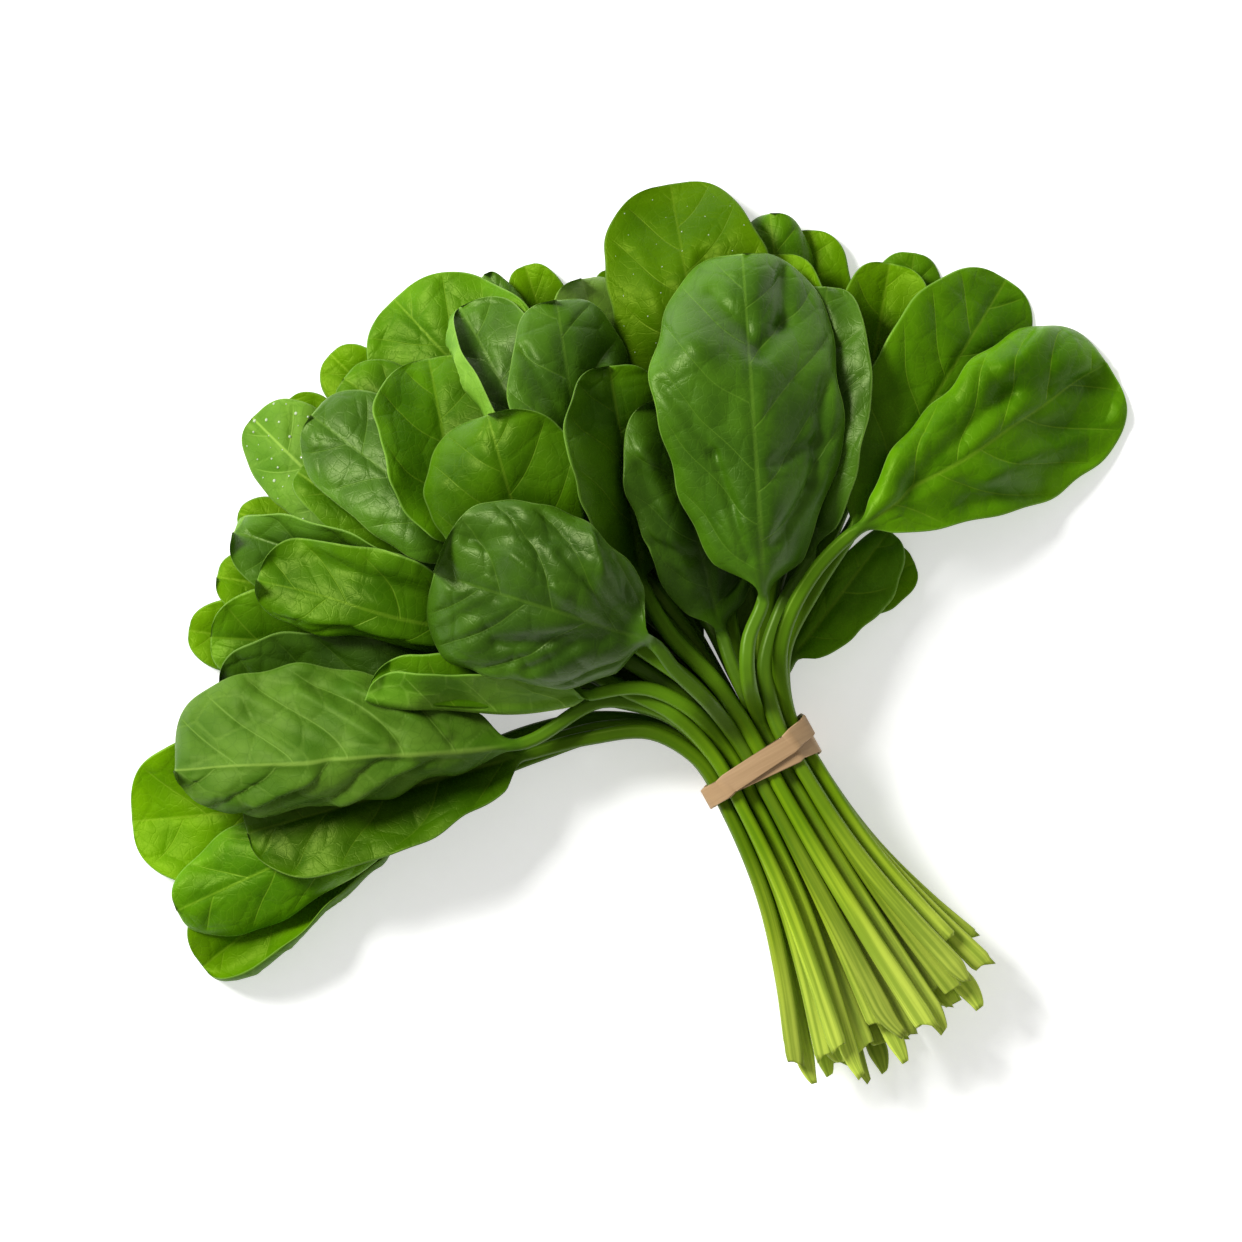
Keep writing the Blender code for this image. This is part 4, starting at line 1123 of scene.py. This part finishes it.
def leaf_values(number, fine):
    """What the finish reads at each point, for the stem's rings and then the blade's."""
    leaf = LEAVES[number - 1]
    count, size = fine.stem.shape[:2]
    v = fine.values
    start = np.ones(count * size)
    u = np.repeat(v["u"], fine.blade.shape[1])
    reach = np.repeat(fine.stem_place, size) * STEM_SPAN
    around = np.tile(np.arange(size) * 2 * math.pi * STEM_RADIUS / size, count)

    def both(grid):
        return np.concatenate([grid, grid[:, ::-1]], axis=1).ravel()

    is_lower = np.zeros(fine.blade.shape[:2])
    is_lower[:, len(fine.c):] = 1
    under = is_lower if leaf.face > 0 else 1 - is_lower
    s, t = both(v["s"]), both(v["t"])
    flesh = np.clip((u - 0.02) / 0.08, 0, 1) * np.clip((np.abs(t) + 40 * u - 1) / 3, 0, 1)
    tint_chance = random.Random(TINT_SEED + number)
    # The leaf's lightness, partly painted light and shade.
    shade = LEAF_TONES_AND_PAINTED_LIGHT.get(number, 1) * tint_chance.uniform(0.95, 1.05)
    stem_shade = tint_chance.uniform(*STEM_SHADES)
    light = np.r_[start * stem_shade, stem_shade + (shade - stem_shade) * flesh]
    # Painted shade: the colour is darkened where a point lies deep in the heap.
    painted_shade = np.r_[painted_gap_shade(fine.stem).ravel(), painted_gap_shade(fine.blade).ravel()]
    reach_mm, side_mm = np.r_[reach, s + BLADE_APART], np.r_[around, t]
    return {
        **{name: np.r_[start * FAR_OFF, both(v[name])] for name in ("edge", "rib", "net")},
        "phase": np.r_[start * NO_VEIN, both(v["phase"])],
        "along": np.r_[(fine.stem[..., :2] @ HEADING).ravel(), BLADE_ALONG[0] + BLADE_ALONG[1] * u],
        "under": np.r_[start * 0, under.ravel()],
        "blade": np.r_[start * 0, flesh],
        "shade": light * painted_shade,
        "leaf_mm": np.column_stack([reach_mm, side_mm, np.full(len(side_mm), number * LEAF_APART)]),
    }


def leaf_faces(stem_rings, size, blade_rings, wide):
    first_blade = stem_rings * size
    tip = first_blade + (blade_rings - 1) * wide
    centre = tip + wide
    faces = sew(0, first_blade, size) + sew(first_blade, centre, wide)
    faces += zip_rings(range(first_blade - size, first_blade), range(first_blade, first_blade + wide))
    faces += [(centre, (k + 1) % size, k) for k in range(size)]
    faces += [(tip + k, tip + k + 1, tip + wide - 2 - k, tip + wide - 1 - k) for k in range(wide // 2 - 1)]
    return faces


def leaf_piece(number):
    leaf, fine = LEAVES[number - 1], laid[number - 1]
    middle = fine.stem[0].mean(axis=0)[None, :]
    points = np.vstack([fine.stem.reshape(-1, 3), fine.blade.reshape(-1, 3), middle])
    faces = leaf_faces(*fine.stem.shape[:2], *fine.blade.shape[:2])
    values = {name: np.concatenate([v, v[:1]]) for name, v in leaf_values(number, fine).items()}
    finish = FINISHES[OWN_FINISH.get(number, leaf.tone)]
    piece = add_piece(f"spinach_leaf_{number:02d}", to_frame(points), faces, finish, values)
    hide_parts(f"leaf_{number:02d}")
    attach(piece, "root")
    return piece


leaf_pieces = [leaf_piece(number) for number in range(1, len(LEAVES) + 1)]
print("leaf triangles", sum(2 * len(piece.data.polygons) for piece in leaf_pieces))

# %% [markdown]
# ## The rubber band as a piece
# The fine band follows the same double loop. A flat strip with rounded edges, swept along a path,
# is what Curve to Mesh does best in Geometry Nodes, and the section's size stays a named input.
# The strip has to lie flat on the stems, so the path carries its own outward direction, which a
# plain bevelled curve would lose.


# %% Geometry Nodes helpers
def new_tree(name, inputs):
    """A Geometry Nodes tree with its group's input and output nodes. inputs are (name, kind, value)."""
    tree = bpy.data.node_groups.new(name, "GeometryNodeTree")
    tree.interface.new_socket("Geometry", in_out="INPUT", socket_type="NodeSocketGeometry")
    for label, kind, value in inputs:
        socket = tree.interface.new_socket(label, in_out="INPUT", socket_type=kind)
        if value is not None:
            socket.default_value = value
    tree.interface.new_socket("Geometry", in_out="OUTPUT", socket_type="NodeSocketGeometry")
    return tree, add_node(tree, "NodeGroupInput"), add_node(tree, "NodeGroupOutput")


def finished_tree(tree, shape, given, result):
    """Ends a tree: real, smooth geometry with its finish."""
    real = add_node(tree, "GeometryNodeRealizeInstances", {"Geometry": shape})
    smooth = add_node(tree, "GeometryNodeSetShadeSmooth", {"Geometry": real})
    finish = {"Geometry": smooth, "Material": given.outputs["Finish"]}
    finished = add_node(tree, "GeometryNodeSetMaterial", finish)
    tree.links.new(finished.outputs["Geometry"], result.inputs["Geometry"])
    return tree


def set_inputs(modifier, values):
    """Sets the modifier's inputs by their socket's identifier."""
    for item in modifier.node_group.interface.items_tree:
        if item.in_out == "INPUT" and item.name in values:
            modifier[item.identifier] = values[item.name]


def grown(name, source, tree, values):
    """The result of a tree on an object, as a plain mesh under a new name. The source is removed."""
    modifier = source.modifiers.new("grow", "NODES")
    modifier.node_group = tree
    set_inputs(modifier, values)
    evaluated = source.evaluated_get(bpy.context.evaluated_depsgraph_get())
    mesh = bpy.data.meshes.new_from_object(evaluated)
    mesh.name = name
    bpy.data.objects.remove(source)
    return new_object(name, mesh)


# %% Rubber
# Scales are repeats for each metre: lines 0.8 mm apart along the band, clouds of 4.5 mm, and a grain
# of 0.4 mm.
CUT_LINES = (60.0, 1300.0, 60.0)


def rubber_finish():
    made, tree = new_material("natural_rubber")
    place = add_node(tree, "ShaderNodeTexCoord").outputs["Object"]
    along = add_node(tree, "ShaderNodeMapping", {"Vector": place, "Scale": CUT_LINES})
    lines, clouds, grain = (
        add_node(tree, "ShaderNodeTexNoise", {"Vector": at, "Scale": scale, "Detail": detail})
        for at, scale, detail in ((along, 1.0, 4.0), (place, 220.0, 3.0), (place, 2600.0, 3.0))
    )
    colour = layered(tree, "#9a7a50", ((lines, 1.0, "#c2a074"), (clouds, 0.4, "#ad8763")))
    height = sum_of_products(tree, ((lines, 1.0), (grain, 0.3)))
    bump = add_node(tree, "ShaderNodeBump", {"Height": height, "Strength": 0.4, "Distance": 0.0002})
    coated(tree, {"Base Color": colour, "Roughness": 0.62, "IOR": 1.52, "Normal": bump})
    return made


# %% Sweep the band
BAND_ROUNDING = 0.3
BAND_STATIONS = 480


def sweep_tree():
    tree, given, result = new_tree("band_sweep", (
        ("Width", "NodeSocketFloat", BAND_WIDTH * MM), ("Thickness", "NodeSocketFloat", BAND_THICKNESS * MM),
        ("Rounding", "NodeSocketFloat", BAND_ROUNDING * MM), ("Finish", "NodeSocketMaterial", None),
    ))
    path = add_node(tree, "GeometryNodeMeshToCurve", {"Mesh": given.outputs["Geometry"]})
    outward = add_node(
        tree, "GeometryNodeInputNamedAttribute", {"Name": "outward"}, data_type="FLOAT_VECTOR"
    )
    facing = add_node(
        tree, "GeometryNodeSetCurveNormal",
        {"Curve": path, "Normal": outward}, mode="FREE",
    )
    strip = add_node(
        tree, "GeometryNodeCurvePrimitiveQuadrilateral",
        {"Width": given.outputs["Thickness"], "Height": given.outputs["Width"]},
    )
    rounded = add_node(
        tree, "GeometryNodeFilletCurve",
        {"Curve": strip, "Radius": given.outputs["Rounding"], "Count": 3}, mode="POLY",
    )
    swept = add_node(
        tree, "GeometryNodeCurveToMesh",
        {"Curve": facing, "Profile Curve": rounded},
    )
    return finished_tree(tree, swept, given, result)


def band_piece():
    inner, outer = band_rings(BAND_STATIONS, ((0.0, 0), (1.0, 0))).transpose(1, 0, 2)
    outward = turned(outer - inner)
    outward /= np.linalg.norm(outward, axis=1)[:, None]
    edges = [(k, (k + 1) % BAND_STATIONS) for k in range(BAND_STATIONS)]
    mesh = new_mesh("band_path", to_frame((inner + outer) / 2), edges, [])
    put_values(mesh, {"outward": outward})
    path = new_object("band_path", mesh)
    piece = grown("rubber_band_fine", path, sweep_tree(), {"Finish": rubber_finish()})
    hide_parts("rubber_band")
    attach(piece, "root")
    return piece


band = band_piece()
print("band faces", len(band.data.polygons))

# %% [markdown]
# ## Dew
# Washed spinach keeps small drops on its waxy skin. The palest leaf in the bunch has larger ones,
# close together, and one bright leaf has a few fine ones. They are scattered by Geometry Nodes
# with a fixed seed, kept apart as drops that touch would run together, and each is a flattened
# ball that sits in the surface. Placing each by hand would take longer and look more even.


# %% Water
def water_finish():
    made, tree = new_material("water")
    # Half of each drop is matt pale green-white: painted light for the brightness that drops catch, as clear
    # water alone comes out dark here.
    coated(tree, {"Base Color": "#e9f5d2", "Roughness": 0.04, "IOR": 1.33, "Transmission Weight": 0.5})
    return made


# %% Scatter the drops
DROP_FLATNESS = (1.0, 1.0, 0.6)
DROPS_TRIED = 200000.0
DROP_ROUNDNESS = 2


def dew_tree():
    tree, given, result = new_tree("dew", (
        ("Spacing", "NodeSocketFloat", 0.003), ("Smallest", "NodeSocketFloat", 0.0001),
        ("Largest", "NodeSocketFloat", 0.0006), ("Seed", "NodeSocketInt", 5),
        ("Finish", "NodeSocketMaterial", None),
    ))
    points = add_node(
        tree, "GeometryNodeDistributePointsOnFaces",
        {"Mesh": given.outputs["Geometry"], "Distance Min": given.outputs["Spacing"],
         "Density Max": DROPS_TRIED, "Seed": given.outputs["Seed"]},
        distribute_method="POISSON",
    )
    drop = add_node(tree, "GeometryNodeMeshIcoSphere", {"Radius": 1.0, "Subdivisions": DROP_ROUNDNESS})
    size = add_node(
        tree, "FunctionNodeRandomValue",
        {2: given.outputs["Smallest"], 3: given.outputs["Largest"], "Seed": given.outputs["Seed"]},
        data_type="FLOAT",
    )
    flat = add_node(
        tree, "ShaderNodeVectorMath", {0: DROP_FLATNESS, "Scale": size.outputs[1]}, operation="SCALE"
    )
    placed = add_node(
        tree, "GeometryNodeInstanceOnPoints",
        {"Points": points, "Instance": drop,
         "Rotation": points.outputs["Rotation"], "Scale": flat},
    )
    return finished_tree(tree, placed, given, result)


def upper_skin(number, share):
    """The part of a leaf's upward skin that drops can lie on, as its own object."""
    fine = laid[number - 1]
    columns = len(fine.c)
    low, high = (round(part * (len(fine.blade) - 1)) for part in share)
    grid = fine.blade[low:high, 2:columns - 2]
    rows, across = grid.shape[:2]
    order = np.arange(rows * across).reshape(rows, across)
    quads = np.stack([order[:-1, :-1], order[:-1, 1:], order[1:, 1:], order[1:, :-1]], axis=-1)
    mesh = new_mesh("dew_ground", to_frame(grid.reshape(-1, 3)), [], quads.reshape(-1, 4).tolist())
    return new_object("dew_ground", mesh)


def add_dew(tree, finish, number, spacing, largest, share):
    sizes = {"Spacing": spacing * MM, "Largest": largest * MM, "Seed": number, "Finish": finish}
    drops = grown(f"dew_on_leaf_{number:02d}", upper_skin(number, share), tree, sizes)
    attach(drops, "root")
    return len(drops.data.polygons)


# Each row is a leaf, how far its drops are apart, the largest one's radius, and the part they cover.
DEWY = ((21, 3.2, 0.55, (0.3, 0.97)), (33, 6.5, 0.22, (0.3, 0.95)))
dew, water = dew_tree(), water_finish()
print("dew faces", [add_dew(dew, water, *row) for row in DEWY])

# %% [markdown]
# ## Floor, light and camera
# The bunch lies on a plain white base under one broad soft light from the upper left, so its shadow
# falls to the lower right. The base is acrylic, lit a little from below as for a product picture,
# which makes it white up to the object and keeps the shadow pale. The camera looks straight down
# from far above, turned so that the stems run as they do in the photograph.

# %% Floor
FLOOR_GLOW = 0.48
FLOOR_HALF = 3.0
FLOOR_DROP = 0.0002


def floor_finish():
    made, tree = new_material("lit_white_acrylic")
    place = add_node(tree, "ShaderNodeTexCoord").outputs["Object"]
    clouds = add_node(tree, "ShaderNodeTexNoise", {"Vector": place, "Scale": 300.0, "Detail": 3.0})
    tint = layered(tree, "#f6f6f4", ((clouds, 1.0, "#fafaf9"),))
    glow = {"Emission Color": tint, "Emission Strength": FLOOR_GLOW}
    coated(tree, {"Base Color": tint, "Roughness": 0.9, **glow})
    return made


def add_floor():
    corners = np.array([(-1, -1, 0), (1, -1, 0), (1, 1, 0), (-1, 1, 0)]) * FLOOR_HALF
    corners[:, 2] = -FLOOR_DROP
    floor = add_piece("floor", corners, [(0, 1, 2, 3)], floor_finish())


add_floor()


# %% Light
KEY_WAY = np.array([-0.9, 0.62, 0.92])
KEY_DISTANCE = 1.6
KEY_SIZE = 0.5
KEY_POWER = 33
ROOM_LIGHT = 0.36


def add_key_light():
    """A square soft light that shines at the bunch from a direction on the plan."""
    lamp = bpy.data.lights.new("key_light", "AREA")
    lamp.size = KEY_SIZE
    lamp.energy = KEY_POWER
    obj = new_object("key_light", lamp)
    obj.location = turned(KEY_WAY / np.linalg.norm(KEY_WAY)) * KEY_DISTANCE
    obj.rotation_euler = (-obj.location).to_track_quat("-Z", "Y").to_euler()


def light_room():
    world = bpy.data.worlds.new("studio")
    world.use_nodes = True
    background = world.node_tree.nodes["Background"]
    background.inputs["Color"].default_value = (1.0, 1.0, 1.0, 1.0)
    background.inputs["Strength"].default_value = ROOM_LIGHT
    bpy.context.scene.world = world
    bpy.context.scene.view_settings.view_transform = "Standard"


add_key_light()
light_room()
print("key light", KEY_POWER, "W")

# %% Camera
PHOTO_SCALE = 0.28
PHOTO_SIDE = 1242
TIE_PIXEL = (760, 766)
CAMERA_HEIGHT = 3.0
LOOK_HEIGHT = 0.025
SENSOR_MM = 36


def add_camera():
    middle = PHOTO_SIDE / 2
    centre = np.array([middle - TIE_PIXEL[0], TIE_PIXEL[1] - middle, 0.0]) * PHOTO_SCALE
    x, y, _ = to_frame(centre)
    lens = bpy.data.cameras.new("camera")
    lens.sensor_width = SENSOR_MM
    lens.lens = SENSOR_MM * (CAMERA_HEIGHT - LOOK_HEIGHT) / (PHOTO_SIDE * PHOTO_SCALE * MM)
    camera = new_object("camera", lens)
    camera.location = (x, y, CAMERA_HEIGHT)
    camera.rotation_euler = (0, 0, TURN)
    bpy.context.scene.camera = camera
    print("lens", round(lens.lens, 1), "mm")


add_camera()
